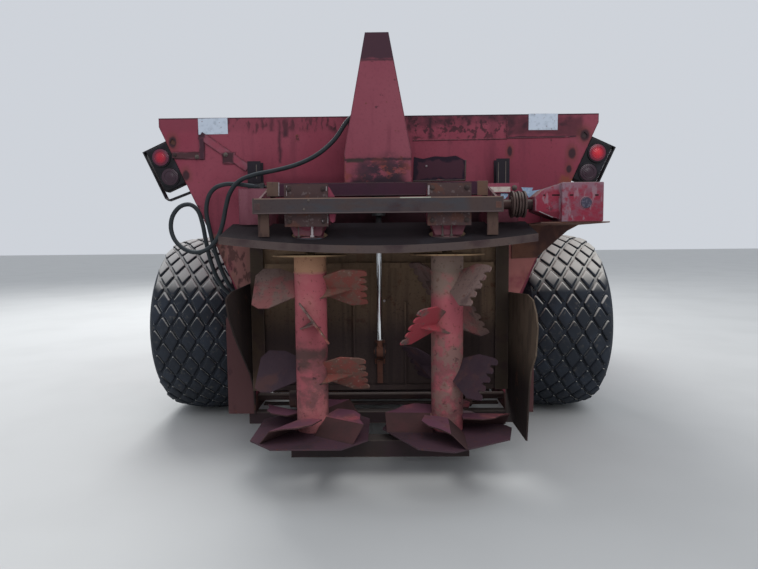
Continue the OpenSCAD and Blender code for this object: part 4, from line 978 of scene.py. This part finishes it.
HOSE_D = 0.025
LIFT_ROUTE = [
    (-56, -130, 2199.9), (-56, -130, 2176), (-60, -134, 2145), (-80, -142, 2093), (-120, -152, 2046),
    (-172, -162, 1998), (-236, -170, 1905), (-319, -172, 1831),
    (-412, -168, 1782), (-505, -165, 1752), (-600, -160, 1732), (-691, -155, 1715), (-780, -150, 1682),
    (-835, -145, 1620), (-866, -130, 1540), (-890, -115, 1450), (-925, -105, 1365), (-980, -100, 1305),
    (-1050, -98, 1282), (-1120, -96, 1300), (-1175, -92, 1350), (-1200, -86, 1420), (-1190, -80, 1492),
    (-1148, -72, 1546), (-1092, -62, 1558), (-1050, -50, 1520), (-1030, -38, 1440), (-1018, -25, 1340),
    (-1002, -10, 1240), (-980, 10, 1150), (-948, 35, 1075), (-908, 62, 1020),
    (-890, 75, 974), (-890, 75, 950.1),
]
RETURN_ROUTE = [
    (-640.1, -150, 1648), (-664, -150, 1648), (-705, -146, 1652), (-765, -126, 1662), (-820, -98, 1670),
    (-880, -85, 1670), (-940, -78, 1650), (-982, -70, 1600), (-1000, -60, 1520), (-992, -45, 1430),
    (-975, -30, 1330), (-955, -10, 1230), (-930, 15, 1140), (-900, 42, 1070), (-862, 64, 1015),
    (-845, 75, 974), (-845, 75, 950.1),
]
ROUTE_STEPS = 4


def smooth_route(points, steps):
    """Points on the curve that the solids follow: smooth, with its first and last stretches straight."""
    inner = points[1:-1]
    route = [points[0]]
    for i in range(len(inner) - 1):
        a, b = inner[max(i - 1, 0)], inner[i]
        c, d = inner[i + 1], inner[min(i + 2, len(inner) - 1)]
        for j in range(steps):
            t = j / steps
            route.append(0.5 * (2 * b + (c - a) * t + (2 * a - 5 * b + 4 * c - d) * t * t
                                + (3 * b - a - 3 * c + d) * t ** 3))
    return route + points[-2:]


FERRULE_D = 0.034
FERRULE_LEN = 0.055
FERRULE_RINGS = 4
NUT_D = 0.042
NUT_LEN = 0.022


def hose_end(name, end, inward):
    """The crimped ferrule and the nut at one end of a hose, round the hose's own line."""
    turn = inward.to_track_quat("Z", "Y").to_matrix().to_4x4()
    parts = [drum(name, Vector((0, 0, NUT_LEN / 2)), NUT_D / 2, NUT_LEN, sides=6, edge=0.002)]
    ring_len = (FERRULE_LEN - NUT_LEN) / FERRULE_RINGS
    for i in range(FERRULE_RINGS):
        z = NUT_LEN + (i + 0.5) * ring_len
        parts.append(drum(name, Vector((0, 0, z)), FERRULE_D / 2, ring_len, sides=24, edge=0.0025))
    piece = joined(name, parts)
    piece.data.transform(Matrix.Translation(end) @ turn)
    return dressed(piece, "chassis", FERRULE_STEEL, 35)


def hose(name, route, node):
    points = smooth_route([at(*p) for p in route], ROUTE_STEPS)
    curve = bpy.data.curves.new(name, "CURVE")
    curve.dimensions = "3D"
    curve.bevel_depth = HOSE_D / 2
    curve.bevel_resolution = 5
    curve.use_fill_caps = True
    spline = curve.splines.new("POLY")
    spline.points.add(len(points) - 1)
    for point, place in zip(spline.points, points):
        point.co = (*place, 1.0)
    spline.use_smooth = True
    piece = bpy.data.objects.new(name, curve)
    bpy.context.scene.collection.objects.link(piece)
    curve.materials.append(HOSE_RUBBER)
    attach(piece, "chassis")
    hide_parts(node)
    ends = [hose_end(name + "_start", points[0], points[1] - points[0]),
            hose_end(name + "_end", points[-1], points[-2] - points[-1])]


hose("lift_hose", LIFT_ROUTE, "hose_lift")
hose("return_hose", RETURN_ROUTE, "hose_return")


# Tyres: a turned carcass under a tread of worn diamond blocks

TYRE_LOW, TYRE_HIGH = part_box("tyre_right")
HUB = (TYRE_LOW + TYRE_HIGH) / 2
TYRE_R = (TYRE_HIGH.z - TYRE_LOW.z) / 2
TYRE_HALF = (TYRE_HIGH.x - TYRE_LOW.x) / 2
RIM_R = 0.3365
BEAD_HALF = 0.2445
BEAD_HEIGHT = 0.014
CROWN_DROP = 0.040
CROWN_STEPS = 12
WALL_STEPS = 16
SHOULDER_R = TYRE_R - CROWN_DROP
SHOULDER_RUN = 0.09
TURN_STEPS = 120

# The wall's grooves: their depth and their inner and outer radius. Then how thick the carcass is
# under the tread, at two radii of the wall and at the bead.
GROOVE_DEPTH = 0.003
GROOVES = ((0.40, 0.412), (0.50, 0.51))
CROWN_THICK = 0.07
WALL_THICK = ((0.6, 0.06), (0.5, 0.05))
BEAD_THICK = 0.04

# The tread: two rows of diamond blocks, repeated round the tyre, with places across in pitches
TREAD_DEPTH = 0.018
TREAD_PERIODS = 22
TREAD_PITCH = 0.128
TREAD_ROWS = ((-1.5, -0.5, 0.5, 1.5), (-2, -1, 0, 1, 2))
ROW_PITCH = math.pi * TYRE_R / TREAD_PERIODS
BLOCK_SHARE = 0.86
BLOCK_ROOT = 0.006
BLOCK_CORNER = 0.012
BLOCK_EDGE = 0.004
LEFT_TYRE_TURN = 0.07


def side_half(r):
    """Half the width of the tyre at the radius r, bulging between bead and shoulder."""
    foot = RIM_R + BEAD_HEIGHT
    bulge = math.sin(math.pi * max(r - foot, 0) / (TYRE_R - foot))
    return BEAD_HALF + (TYRE_HALF - BEAD_HALF) * bulge


def tyre_outline():
    """Points (X, radius) of the tread face from the middle outwards and down the outer wall."""
    half = side_half(SHOULDER_R)
    crown = [(half * i / CROWN_STEPS, TYRE_R - CROWN_DROP * (i / CROWN_STEPS) ** 2)
             for i in range(CROWN_STEPS + 1)]
    wall = [SHOULDER_R - (SHOULDER_R - RIM_R) * i / WALL_STEPS for i in range(1, WALL_STEPS + 1)]
    return crown + [(side_half(r), r) for r in wall]


def on_outline(outline, distance):
    """The point and the outward direction at a distance along the outline."""
    for (x0, r0), (x1, r1) in zip(outline, outline[1:]):
        step = math.hypot(x1 - x0, r1 - r0)
        if distance <= step:
            t = distance / step
            return (x0 + (x1 - x0) * t, r0 + (r1 - r0) * t), ((r0 - r1) / step, (x1 - x0) / step)
        distance -= step
    return outline[-1], (1.0, 0.0)


def wrap(piece, outline, across, along):
    """Lays a flat piece, X across and Y along the tread, on the tyre about the X axis."""
    for vertex in piece.data.vertices:
        u = vertex.co.x + across
        (x, r), (nx, nr) = on_outline(outline, abs(u))
        x += nx * vertex.co.z
        r += nr * vertex.co.z
        angle = (vertex.co.y + along) / TYRE_R
        vertex.co = (math.copysign(x, u), r * math.sin(angle), r * math.cos(angle))


def tread_block():
    """One diamond block of the tread lying flat, its top at Z 0, with worn corners and edges."""
    height = TREAD_DEPTH + BLOCK_ROOT
    nothing_selected()
    bpy.ops.mesh.primitive_cylinder_add(vertices=4, radius=1, depth=height)
    piece = bpy.context.object
    piece.name = "tread_block"
    piece.scale = (TREAD_PITCH / 2 * BLOCK_SHARE, ROW_PITCH * BLOCK_SHARE, 1)
    piece.location.z = -height / 2
    settle(piece)
    bevel_all(BLOCK_CORNER)
    bevel_marked(piece, BLOCK_EDGE, lambda a, b: min(a.z, b.z) > -0.001)
    return piece


def tread(outline):
    """The whole tread about the X axis: a period of two shifted rows, repeated round the tyre."""
    pattern = tread_block()
    blocks = []
    for row, columns in enumerate(TREAD_ROWS):
        for column in columns:
            piece = copied(pattern, Matrix.Identity(4))
            wrap(piece, outline, column * TREAD_PITCH, row * ROW_PITCH)
            blocks.append(piece)
    bpy.data.objects.remove(pattern)
    period = joined("tread", blocks)
    turns = [copied(period, Matrix.Rotation(2 * math.pi * i / TREAD_PERIODS, 4, "X"))
             for i in range(1, TREAD_PERIODS)]
    return joined("tread", [period] + turns)


def carcass_outline(outline):
    """The closed outline (X, radius) of the tyre without its blocks: outside, then inside."""
    low = SHOULDER_R - SHOULDER_RUN
    outer = []
    for x, r in outline:
        share = min(1.0, max(0.0, (r - low) / (SHOULDER_R - low)))
        grooved = any(inner_r < r < outer_r for inner_r, outer_r in GROOVES)
        outer.append((x - GROOVE_DEPTH * grooved, r - TREAD_DEPTH * share))
    liner = [(0.0, TYRE_R - CROWN_THICK)]
    liner += [(side_half(r) - thick, r) for r, thick in WALL_THICK]
    liner += [(BEAD_HALF - BEAD_THICK, RIM_R)]
    half = outer + liner[::-1]
    return half + [(-x, r) for x, r in half[::-1][1:-1]]


def carcass(outline):
    """The tyre without its blocks, turned about the X axis by a screw."""
    loop = carcass_outline(outline)
    nothing_selected()
    bpy.ops.mesh.primitive_circle_add(vertices=len(loop), radius=1)
    piece = bpy.context.object
    for vertex, (x, r) in zip(piece.data.vertices, loop):
        vertex.co = (x, 0, r)
    screw = piece.modifiers.new("turn", "SCREW")
    screw.axis = "X"
    screw.steps = TURN_STEPS
    screw.render_steps = TURN_STEPS
    screw.use_merge_vertices = True
    screw.use_smooth_shade = True
    apply_all(piece)
    bpy.ops.object.mode_set(mode="EDIT")
    bpy.ops.mesh.select_all(action="SELECT")
    bpy.ops.mesh.remove_doubles(threshold=0.0001)
    bpy.ops.mesh.normals_make_consistent(inside=False)
    bpy.ops.object.mode_set(mode="OBJECT")
    return piece


def make_tyres():
    outline = tyre_outline()
    right = joined("tyre_tread_right", [carcass(outline), tread(outline)])
    left = copied(right, Matrix.Rotation(LEFT_TYRE_TURN, 4, "X"))
    left.name = "tyre_tread_left"
    for piece, side, x in ((right, "right", HUB.x), (left, "left", -HUB.x)):
        piece.data.transform(Matrix.Translation((x, HUB.y, HUB.z)))
        dressed(piece, "wheel_" + side, NODE_FINISH["tyre_left"], 32)
        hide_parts("tyre_" + side)


make_tyres()


# Fasteners: one hexagon bolt is modelled and copied with a mesh of its own

SIDES = (("left", -1), ("right", 1))
BACK = (0, -1, 0)
BOLT_SPIN = 0.7

# Washer, head and stud: middle, radius, length, count of sides and bevel, for a bolt of size 1
BOLT_PARTS = ((0.06, 0.62, 0.12, 20, 0.02), (0.3, 0.5, 0.36, 6, 0.05), (0.52, 0.22, 0.2, 12, 0.04))


def bolt(size):
    """A hexagon head on a washer, pointing along Z from the face at Z 0."""
    parts = []
    for z, radius, length, sides, edge in BOLT_PARTS:
        middle = Vector((0, 0, z * size))
        parts.append(drum("bolt", middle, radius * size, length * size, sides=sides, edge=edge * size))
    return joined("bolt", parts)


def bolts(name, body, places, facing, size, finish=BOLT_STEEL):
    """Bolts of one size at the given places, their heads facing along the direction."""
    turn = Vector(facing).to_track_quat("Z", "Y").to_matrix().to_4x4()
    pattern = bolt(size)
    heads = []
    for i, place in enumerate(places):
        spin = Matrix.Rotation(BOLT_SPIN * i, 4, "Z")
        heads.append(copied(pattern, Matrix.Translation(place) @ turn @ spin))
    bpy.data.objects.remove(pattern)
    dressed(joined(name, heads), body, finish, 35)


# Wheels: nuts on the disc, and a domed cap with its bolts on the hub's end

WHEEL_DISC = 0.054
NUT_COUNT = 8
NUT_RING = 0.1375
HUB_END = 0.120
CAP_BOLT_COUNT = 6
CAP_BOLT_RING = 0.072
CAP_R = 0.052
CAP_LEN = 0.028
CAP_EDGE = 0.009


def round_axle(centre, radius, count):
    """Places on a circle about an axis along X."""
    angles = [2 * math.pi * i / count for i in range(count)]
    return [centre + Vector((0, radius * math.cos(a), radius * math.sin(a))) for a in angles]


def wheel_parts(side, sign):
    body = "wheel_" + side
    outward = (sign, 0, 0)
    disc = Vector((sign * (HUB.x + WHEEL_DISC), HUB.y, HUB.z))
    end = Vector((sign * (HUB.x + HUB_END), HUB.y, HUB.z))
    bolts("wheel_nuts_" + side, body, round_axle(disc, NUT_RING, NUT_COUNT), outward, 0.046, ZINC)
    bolts("hub_bolts_" + side, body, round_axle(end, CAP_BOLT_RING, CAP_BOLT_COUNT), outward, 0.018)
    middle = end + Vector((sign * CAP_LEN / 2, 0, 0))
    cap = drum("hub_cap_" + side, middle, CAP_R, CAP_LEN, "X", 40, CAP_EDGE)
    dressed(cap, body, DARK_STEEL, 40)


for side, sign in SIDES:
    wheel_parts(side, sign)


# Thin plates and weld beads. A face is its distance forward of the rear panel, in millimetres.

SHARPEST = 0.0008
RIPPLE_STEP = 0.55
RIPPLE_FLAT = 0.55


def sheet(name, x0, x1, z0, z1, face, thick, finish, tilt=0.0):
    """A thin plate on a face that looks backwards, turned in its own plane by some degrees."""
    piece = block(name, at(x0, face - thick, z0), at(x1, face, z1), min(SHARPEST, thick / 3000), 1)
    centre = at((x0 + x1) / 2, face, (z0 + z1) / 2)
    turn = Matrix.Rotation(math.radians(tilt), 4, "Y")
    piece.data.transform(Matrix.Translation(centre) @ turn @ Matrix.Translation(-centre))
    dressed(piece, "chassis", finish)


def thin_plate(name, points, face, thick, finish):
    """A thin plate with an outline of points (X, Z), its back on a face that looks backwards."""
    nothing_selected()
    bpy.ops.mesh.primitive_circle_add(vertices=len(points), radius=1, fill_type="NGON")
    piece = bpy.context.object
    piece.name = name
    for vertex, (x, z) in zip(piece.data.vertices, points):
        vertex.co = at(x, face - thick / 2, z)
    shell = piece.modifiers.new("thick", "SOLIDIFY")
    shell.thickness = thick / 1000
    shell.offset = 0
    apply_all(piece)
    dressed(piece, "chassis", finish)


def weld_bead(name, face, x0, z0, x1, z1, width, finish):
    """A row of overlapping weld ripples between two points on a face that looks backwards."""
    start, end = at(x0, face, z0), at(x1, face, z1)
    run = end - start
    count = max(4, int(run.length / (width * RIPPLE_STEP)))
    nothing_selected()
    bpy.ops.mesh.primitive_uv_sphere_add(segments=10, ring_count=6, radius=width / 2)
    ripple = bpy.context.object
    ripple.data.transform(Matrix.Diagonal((1.0, RIPPLE_FLAT, 1.0, 1.0)))
    ripples = [copied(ripple, Matrix.Translation(start + run * (i / count))) for i in range(count + 1)]
    bpy.data.objects.remove(ripple)
    dressed(joined(name, ripples), "chassis", finish, 60)


# Rear panel: the straps' bolts, blank stickers, torn labels, a red bar and weld beads

STRAP_FACE = -1000 * STRAP_T
STRAP_BOLTS = ((-892, 1849), (-1060, 1838))
STRAP_RIVET = (-1189, 1850)

# By name, ends in X, ends in Z, and tilt in degrees
STICKERS = (("sticker_left", -1050, -877, 1968, 2061, -0.6), ("sticker_right", 875, 1044, 1971, 2065, 0.4))

# The outlines of two torn labels, by X and Z
SCRAP_A = (
    (836, 1643), (905, 1640), (898, 1622), (930, 1626), (958, 1630), (956, 1604),
    (914, 1612), (920, 1590), (880, 1583), (868, 1606), (846, 1624),
)
SCRAP_B = ((668, 1600), (708, 1598), (704, 1574), (690, 1560), (664, 1563))
HOLE_BACKS = (("hole_back_left", -1204, 1925), ("hole_back_right", 1200, 1939))
HOLE_BACK_FACE = 9
HOLE_BACK_R = 27
BRACKET_FACE = -250
BAR_FACE = -258

# Weld beads, by name and by X and Z of the start and of the end
PATCH_WELDS = (("patch_weld_low", 206, 1686, 506, 1690), ("patch_weld_side", 507, 1694, 510, 1800))
PANEL_SEAMS = (
    ("seam_lower", 204, 1919, 749, 1923), ("seam_right", 752, 1926, 1112, 1929),
    ("seam_upright", 749, 1925, 749, 2040),
)


def panel_labels():
    """Two blank stickers and two torn scraps of label."""
    for name, x0, x1, z0, z1, tilt in STICKERS:
        sheet(name, x0, x1, z0, z1, 0, 1.5, STICKER, tilt)
    thin_plate("label_scrap_a", SCRAP_A, 0, 1, LABEL_BLUE)
    thin_plate("label_scrap_b", SCRAP_B, BRACKET_FACE, 1, LABEL_BLUE)


def hole_backs():
    """Round dark plates behind the panel's two holes."""
    for name, x, z in HOLE_BACKS:
        angles = [math.radians(a) for a in range(0, 360, 24)]
        rim = [(x + HOLE_BACK_R * math.cos(a), z + HOLE_BACK_R * math.sin(a)) for a in angles]
        thin_plate(name, rim, HOLE_BACK_FACE, 1.5, DARK_STEEL)


def bracket_bar():
    """The red bar on the drive bracket, with a faded label and a bolt."""
    bar = block("bracket_bar", at(594, BAR_FACE, 1590), at(764, BRACKET_FACE, 1644), 0.002)
    dressed(bar, "chassis", RED_BAR)
    sheet("bar_label", 606, 716, 1596, 1624, BAR_FACE, 1.2, LABEL_CREAM)
    bolts("bar_bolts", "chassis", [at(738, BAR_FACE, 1618)], BACK, 0.024)


def panel_welds():
    """Beads round the welded patch and along the edge of the rust band."""
    for name, *ends in PATCH_WELDS:
        weld_bead(name, -2, *ends, 0.010, DARK_STEEL)
    for name, *ends in PANEL_SEAMS:
        weld_bead(name, -1, *ends, 0.007, BODY_PAINT)


bolts("strap_bolts", "chassis", [at(x, STRAP_FACE, z) for x, z in STRAP_BOLTS], BACK, 0.021)
bolts("strap_rivet", "chassis", [at(STRAP_RIVET[0], STRAP_FACE, STRAP_RIVET[1])], BACK, 0.018, DARK_BOLT)
panel_labels()
hole_backs()
bracket_bar()
panel_welds()


# Beater drive and gate: plate bolts, the plates under the clevis, and the necks above the beaters

PLATE_FACE = -512
PLATE_BOLTS = ((-86, 1440), (-86, 1600), (86, 1440), (86, 1600))
NECK_FACE = -472
NECK_FLARE = ((-92, 1428), (92, 1428), (68, 1366), (-68, 1366))
COLLAR_R = 0.096
COLLAR_FINISH = {"left": FLANGE_TEAL, "right": DARK_STEEL}

# The studs stand on a ring round the neck: the turn in degrees, the radius and the finish of each
STUD_RING = 89
# The first left stud is in the pale glint colour, a painted highlight.
STUDS = {
    "left": ((286, 0.0065, PALE_GLINT), (239, 0.004, BOLT_STEEL)),
    "right": ((249, 0.004, BOLT_STEEL), (278, 0.004, BOLT_STEEL)),
}


def plate_bolts():
    for side, sign in SIDES:
        corners = [at(sign * BEATER_X + dx, PLATE_FACE, z) for dx, z in PLATE_BOLTS]
        bolts("plate_bolts_" + side, "chassis", corners, BACK, 0.021, DARK_BOLT)
    bolts("plate_nut", "chassis", [at(-BEATER_X + 84, PLATE_FACE - 8, 1440)], BACK, 0.010, WEAR_AND_GLINT)


def gate_lug():
    """The plates under the rod's clevis, and a nut on the gate in the pale glint colour, a painted
    highlight.
    """
    pad = block("gate_lug", at(-31, -54, 612), at(31, -45, 756), 0.003)
    web = block("gate_lug_web", at(-17, -78, 500), at(17, -45, 640), 0.004)
    dressed(joined("gate_lug", [pad, web]), "gate", LUG_BROWN)
    bolts("gate_glint_nut", "gate", [at(28, -46, 986)], BACK, 0.012, PALE_GLINT)


def neck(side, x):
    """The studs that clamp a gearbox to its flange, the flange's collar and the flare over it."""
    for i, (turn, radius, finish) in enumerate(STUDS[side]):
        stud_x = x + STUD_RING * math.cos(math.radians(turn))
        behind = BEATER_BEHIND + STUD_RING * math.sin(math.radians(turn))
        shank = drum("stud", at(stud_x, behind, 1392), radius, 0.066, sides=12)
        nut = drum("stud", at(stud_x, behind, 1364), radius + 0.004, 0.010, sides=6, edge=0.001)
        stud = joined("neck_stud_%s_%d" % (side, i), [shank, nut])
        dressed(stud, "chassis", finish, 35)
    collar = drum("neck_flange_" + side, at(x, BEATER_BEHIND, 1350), COLLAR_R, 0.012, sides=48, edge=0.002)
    dressed(collar, "chassis", COLLAR_FINISH[side], 35)
    flare = [(x + dx, z) for dx, z in NECK_FLARE]
    thin_plate("neck_flare_" + side, flare, NECK_FACE, 6, NECK_PAINT)


# Beam: marks at its ends, small plates and lugs, painted glints on plate edges, and lines on the guides

BEAM_FACE = -550
BEAM_MARK_X = 596
BEAM_BOLTS = ((-341, 1541), (-364, 1497))
POST_FACE = -504
POST_PLATES = (
    ("beam_plate_left", -554, -496, 1565, 1636, 1.2),
    ("beam_plate_right", 497, 549, 1560, 1632, 0.0),
)
LUG_FACE = -490
BEAM_LUG = ((-247, 1477), (-209, 1477), (-216, 1438), (-229, 1431), (-240, 1440))
BEAM_GUSSET = ((-254, 1618), (-240, 1606), (-214, 1560), (-256, 1560))
PATCH_RIVET = (281, 1771)
GUIDE_FACE = -80
GUIDE_LINES = (
    ("guide_line_a", 684, 1664, 1778), ("guide_line_b", 726, 1662, 1784),
    ("guide_line_c", -700, 1700, 1780),
)

# Painted glints along the edges of the gearbox plates: X, lower and upper end, and width
PLATE_GLINTS = (
    (-495, 1567, 1634, 4), (-456, 1566, 1618, 3), (-252, 1428, 1464, 3), (250, 1566, 1612, 9),
    (-258, 1590, 1612, 5),
)


def beam_mark(side, x):
    sheet("beam_mark_" + side, x - 14, x + 14, 1496, 1528, BEAM_FACE, 1.0, DARK_STEEL)


def beam_plates():
    """Bolts, brown post plates, painted glints along plate edges, and the red lug and gusset at the left
    gearbox.
    """
    bolts("beam_bolts", "chassis", [at(x, BEAM_FACE, z) for x, z in BEAM_BOLTS], BACK, 0.010)
    for name, x0, x1, z0, z1, tilt in POST_PLATES:
        sheet(name, x0, x1, z0, z1, POST_FACE, 8, POST_BROWN, tilt=tilt)
    # Painted glints: thin pale strips on the gearbox plates' edges.
    for i, (x, low, high, wide) in enumerate(PLATE_GLINTS):
        sheet("worn_edge_%d" % i, x, x + wide, low, high, PLATE_FACE, 1.0, WEAR_AND_GLINT, tilt=1.5)
    thin_plate("beam_lug", BEAM_LUG, LUG_FACE, 10, RED_BAR)
    thin_plate("beam_gusset", BEAM_GUSSET, LUG_FACE, 8, RED_BAR)


def thin_marks():
    """The rivet in the welded patch and the bright upright lines beside the gate."""
    bolts("patch_rivet", "chassis", [at(PATCH_RIVET[0], -4, PATCH_RIVET[1])], BACK, 0.010, WEAR_AND_GLINT)
    for name, x, low, high in GUIDE_LINES:
        sheet(name, x, x + 4, low, high, GUIDE_FACE, 1.0, BOLT_STEEL)


plate_bolts()
gate_lug()
for side, sign in SIDES:
    neck(side, sign * BEATER_X)
    beam_mark(side, sign * BEAM_MARK_X)
beam_plates()
thin_marks()


# Drive guard: a folded box with a tapering snout, slotted, and a round plug in its face

GUARD_LOW, GUARD_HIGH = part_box("drive_guard")
GUARD_SEAM = 0.922
GUARD_END = 1.130
GUARD_TOP = 1.622
GUARD_FOLD = 0.005
SNOUT_FOLD = 0.004
GUARD_FACE = -500
SNOUT_FACE = -470
SNOUT_REAR = PANEL_Y + SNOUT_FACE / 1000
SNOUT_FRONT = PANEL_Y - 0.330
SLOTS = ((836, 846, 1557), (880, 918, 1557), (959, 977, 1554), (1085, 1103, 1553))
SLOT_HEIGHT = 7
PLUG_X, PLUG_Z = 1042, 1519

# The snout narrows from its bend to its nose: lower and upper end of each, and the bend's distance
SNOUT_NOSE = (1.484, 1.556)
SNOUT_BEND = (1.465, 1.594)
SNOUT_MIDDLE = 1.5
BEND_AWAY = 0.045


def guard_box():
    low = Vector((GUARD_SEAM, PANEL_Y + GUARD_FACE / 1000, GUARD_LOW.z))
    return block("drive_guard_shell", low, Vector((GUARD_END, GUARD_HIGH.y, GUARD_TOP)), GUARD_FOLD, 3)


def guard_snout():
    """The snout: a block drawn in to a narrow nose, where the cross shaft enters."""
    low = Vector((GUARD_LOW.x, SNOUT_REAR, GUARD_LOW.z + 0.010))
    high = Vector((GUARD_SEAM + 0.004, SNOUT_FRONT, GUARD_TOP - 0.004))
    piece = block("drive_guard_shell", low, high)
    only(piece)
    bpy.ops.object.mode_set(mode="EDIT")
    bpy.ops.mesh.select_all(action="SELECT")
    bpy.ops.mesh.bisect(plane_co=(GUARD_LOW.x + BEND_AWAY, 0, 0), plane_no=(1, 0, 0))
    bpy.ops.object.mode_set(mode="OBJECT")
    for vertex in piece.data.vertices:
        upper = vertex.co.z > SNOUT_MIDDLE
        if vertex.co.x < GUARD_LOW.x + 0.001:
            vertex.co.z = SNOUT_NOSE[upper]
        elif vertex.co.x < GUARD_LOW.x + BEND_AWAY + 0.005:
            vertex.co.z = SNOUT_BEND[upper]
    only(piece)
    bevel_all(SNOUT_FOLD)
    return piece


def make_guard():
    guard_shell = joined("drive_guard_shell", [guard_box(), guard_snout()])
    dressed(guard_shell, "chassis", GUARD_PAINT, 35)
    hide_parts("drive_guard")


def guard_slots():
    for i, (x0, x1, z) in enumerate(SLOTS):
        face = GUARD_FACE if x0 > 1000 * GUARD_SEAM else SNOUT_FACE
        sheet("guard_slot_%d" % i, x0, x1, z, z + SLOT_HEIGHT, face, 0.6, SLOT_BLACK)


def guard_plug():
    """The plug in the guard's face, and the pressed ring round it."""
    plug = drum("guard_plug", at(PLUG_X, GUARD_FACE - 2, PLUG_Z), 0.0265, 0.008, "Y", 48, 0.0025)
    dressed(plug, "chassis", PLUG_GREY, 35)
    ring = hoop("guard_plug_ring", at(PLUG_X, GUARD_FACE, PLUG_Z), 0.0295, 0.003)
    dressed(ring, "chassis", GUARD_PAINT, 60)


make_guard()
guard_slots()
guard_plug()
weld_bead("snout_seam", SNOUT_FACE, 816, 1480, 884, 1449, 0.004, WEAR_AND_GLINT)


# Lamps: a black box with two ringed lenses each, in the guard of bent flat bar that hangs it from the side

LAMP_HALF = 0.131
LAMP_WIDTH = 0.135
LAMP_DEPTH = 0.070
CLEARANCE = 0.0005
CASE_HALF = LAMP_WIDTH / 2 - CLEARANCE
RING_THICK = 0.0055
DOME_R = 0.026
DOME_FLAT = 0.25

# The guard of the right lamp, about the lamp's middle: the ends (X, Z) of its four bars, along the top,
# down the outer side and back in, then the bars' thickness and their reach in Y
BAR_OUT = LAMP_WIDTH / 2 + 0.022
GUARD_BARS = (
    ((-CASE_HALF, LAMP_HALF + 0.004), (BAR_OUT, LAMP_HALF + 0.004)),
    ((BAR_OUT - 0.004, LAMP_HALF + 0.006), (BAR_OUT - 0.004, -LAMP_HALF - 0.030)),
    ((BAR_OUT - 0.004, -LAMP_HALF - 0.028), (BAR_OUT - 0.014, -LAMP_HALF - 0.046)),
    ((BAR_OUT - 0.012, -LAMP_HALF - 0.046), (-CASE_HALF, -LAMP_HALF - 0.056)),
)
BAR_THICK = 0.007
BAR_LOW, BAR_HIGH = 0.010, 0.060


def lens_piece(name):
    """One lens about its middle, facing backwards: a rimmed disc with a ring and a bulb's dome."""
    face = drum(name, Vector((0, -0.002, 0)), LENS_D / 2 - 0.001, 0.012, "Y", 56, 0.004)
    ring = hoop(name, Vector((0, -0.008, 0)), 0.034, 0.002)
    nothing_selected()
    bpy.ops.mesh.primitive_uv_sphere_add(segments=32, ring_count=16, radius=DOME_R)
    dome = bpy.context.object
    dome.data.transform(Matrix.Translation((0, -0.005, 0)) @ Matrix.Diagonal((1.0, DOME_FLAT, 1.0, 1.0)))
    return joined(name, [face, ring, dome])


def lamp_guard(name, outward):
    """The bent bar round a lamp, about the lamp's middle. Outward is 1 on the right and -1 on the left."""
    bars = []
    for (x0, z0), (x1, z1) in GUARD_BARS:
        run = Vector((outward * (x1 - x0), 0, z1 - z0))
        low = Vector((0, BAR_LOW, -BAR_THICK / 2))
        bar = block(name, low, Vector((run.length, BAR_HIGH, BAR_THICK / 2)), 0.0015)
        turn = Matrix.Rotation(math.atan2(-run.z, run.x), 4, "Y")
        bar.data.transform(Matrix.Translation((outward * x0, 0, z0)) @ turn)
        bars.append(bar)
    return joined(name, bars)


def lamp(side, sign):
    middle = LAMP_MIDDLE * Vector((sign, 1, 1))
    place = Matrix.Translation(middle) @ Matrix.Rotation(sign * LAMP_TILT, 4, "Y")
    low = Vector((-CASE_HALF, 0, -LAMP_HALF))
    box = block("lamp_case_" + side, low, Vector((CASE_HALF, LAMP_DEPTH, LAMP_HALF)), 0.009, 3)
    rings = []
    lenses = []
    for z in (LENS_GAP / 2, -LENS_GAP / 2):
        rings.append(hoop("lamp_rings_" + side, Vector((0, -0.001, z)), LENS_D / 2 + 0.003, RING_THICK, 10))
        lens = lens_piece("lamp_lenses_" + side)
        lens.data.transform(Matrix.Translation((0, 0, z)))
        lenses.append(lens)
    ring = joined("lamp_rings_" + side, rings)
    ring.data.transform(place)
    dressed(ring, "chassis", BOX_PAINT, 60)
    case = joined("lamp_case_" + side, [box, lamp_guard("lamp_guard_" + side, sign)])
    case.data.transform(place)
    dressed(case, "chassis", LAMP_BLACK, 35)
    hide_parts("lamp_" + side)
    glass = joined("lamp_lenses_" + side, lenses)
    glass.data.transform(place)
    dressed(glass, "chassis", NODE_FINISH["lens_left"], 35)
    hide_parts("lens_" + side)


for side, sign in SIDES:
    lamp(side, sign)


# Stage: a plain pale floor and soft light

FLOOR_HALF = 60.0
SKY = (0.62, 0.65, 0.70, 1.0)
LIGHT_SIZE = 6.0

# Name, place, what it points at, and power in watts
LIGHTS = (
    ("sky_light", (-4.0, 6.0, 10.0), (0, 0, 1.0), 1100.0),
    ("fill_light", (2.0, -9.0, 7.5), (0, -2.5, 1.2), 260.0),
)


def make_stage():
    nothing_selected()
    bpy.ops.mesh.primitive_plane_add(size=2 * FLOOR_HALF, location=(0, 0, 0))
    floor = bpy.context.object
    floor.name = "floor"
    f = Finish("floor_pale", "c9cac9", 0.9)
    f.layer(f.ramp(f.noise(0.8, 3.0), 0.4, 0.7), "c2c3c2", 0.92, 0.6)
    floor.data.materials.append(f.material)


def make_light():
    world = bpy.data.worlds.new("studio")
    bpy.context.scene.world = world
    world.use_nodes = True
    shade = world.node_tree.nodes["Background"]
    shade.inputs["Color"].default_value = SKY
    shade.inputs["Strength"].default_value = 1.0
    for name, place, target, power in LIGHTS:
        data = bpy.data.lights.new(name, "AREA")
        data.energy = power
        data.size = LIGHT_SIZE
        light = bpy.data.objects.new(name, data)
        bpy.context.scene.collection.objects.link(light)
        aim = Vector(target) - Vector(place)
        light.matrix_world = Matrix.Translation(place) @ aim.to_track_quat("-Z", "Y").to_matrix().to_4x4()


make_stage()
make_light()
bpy.context.scene.view_settings.view_transform = "Standard"
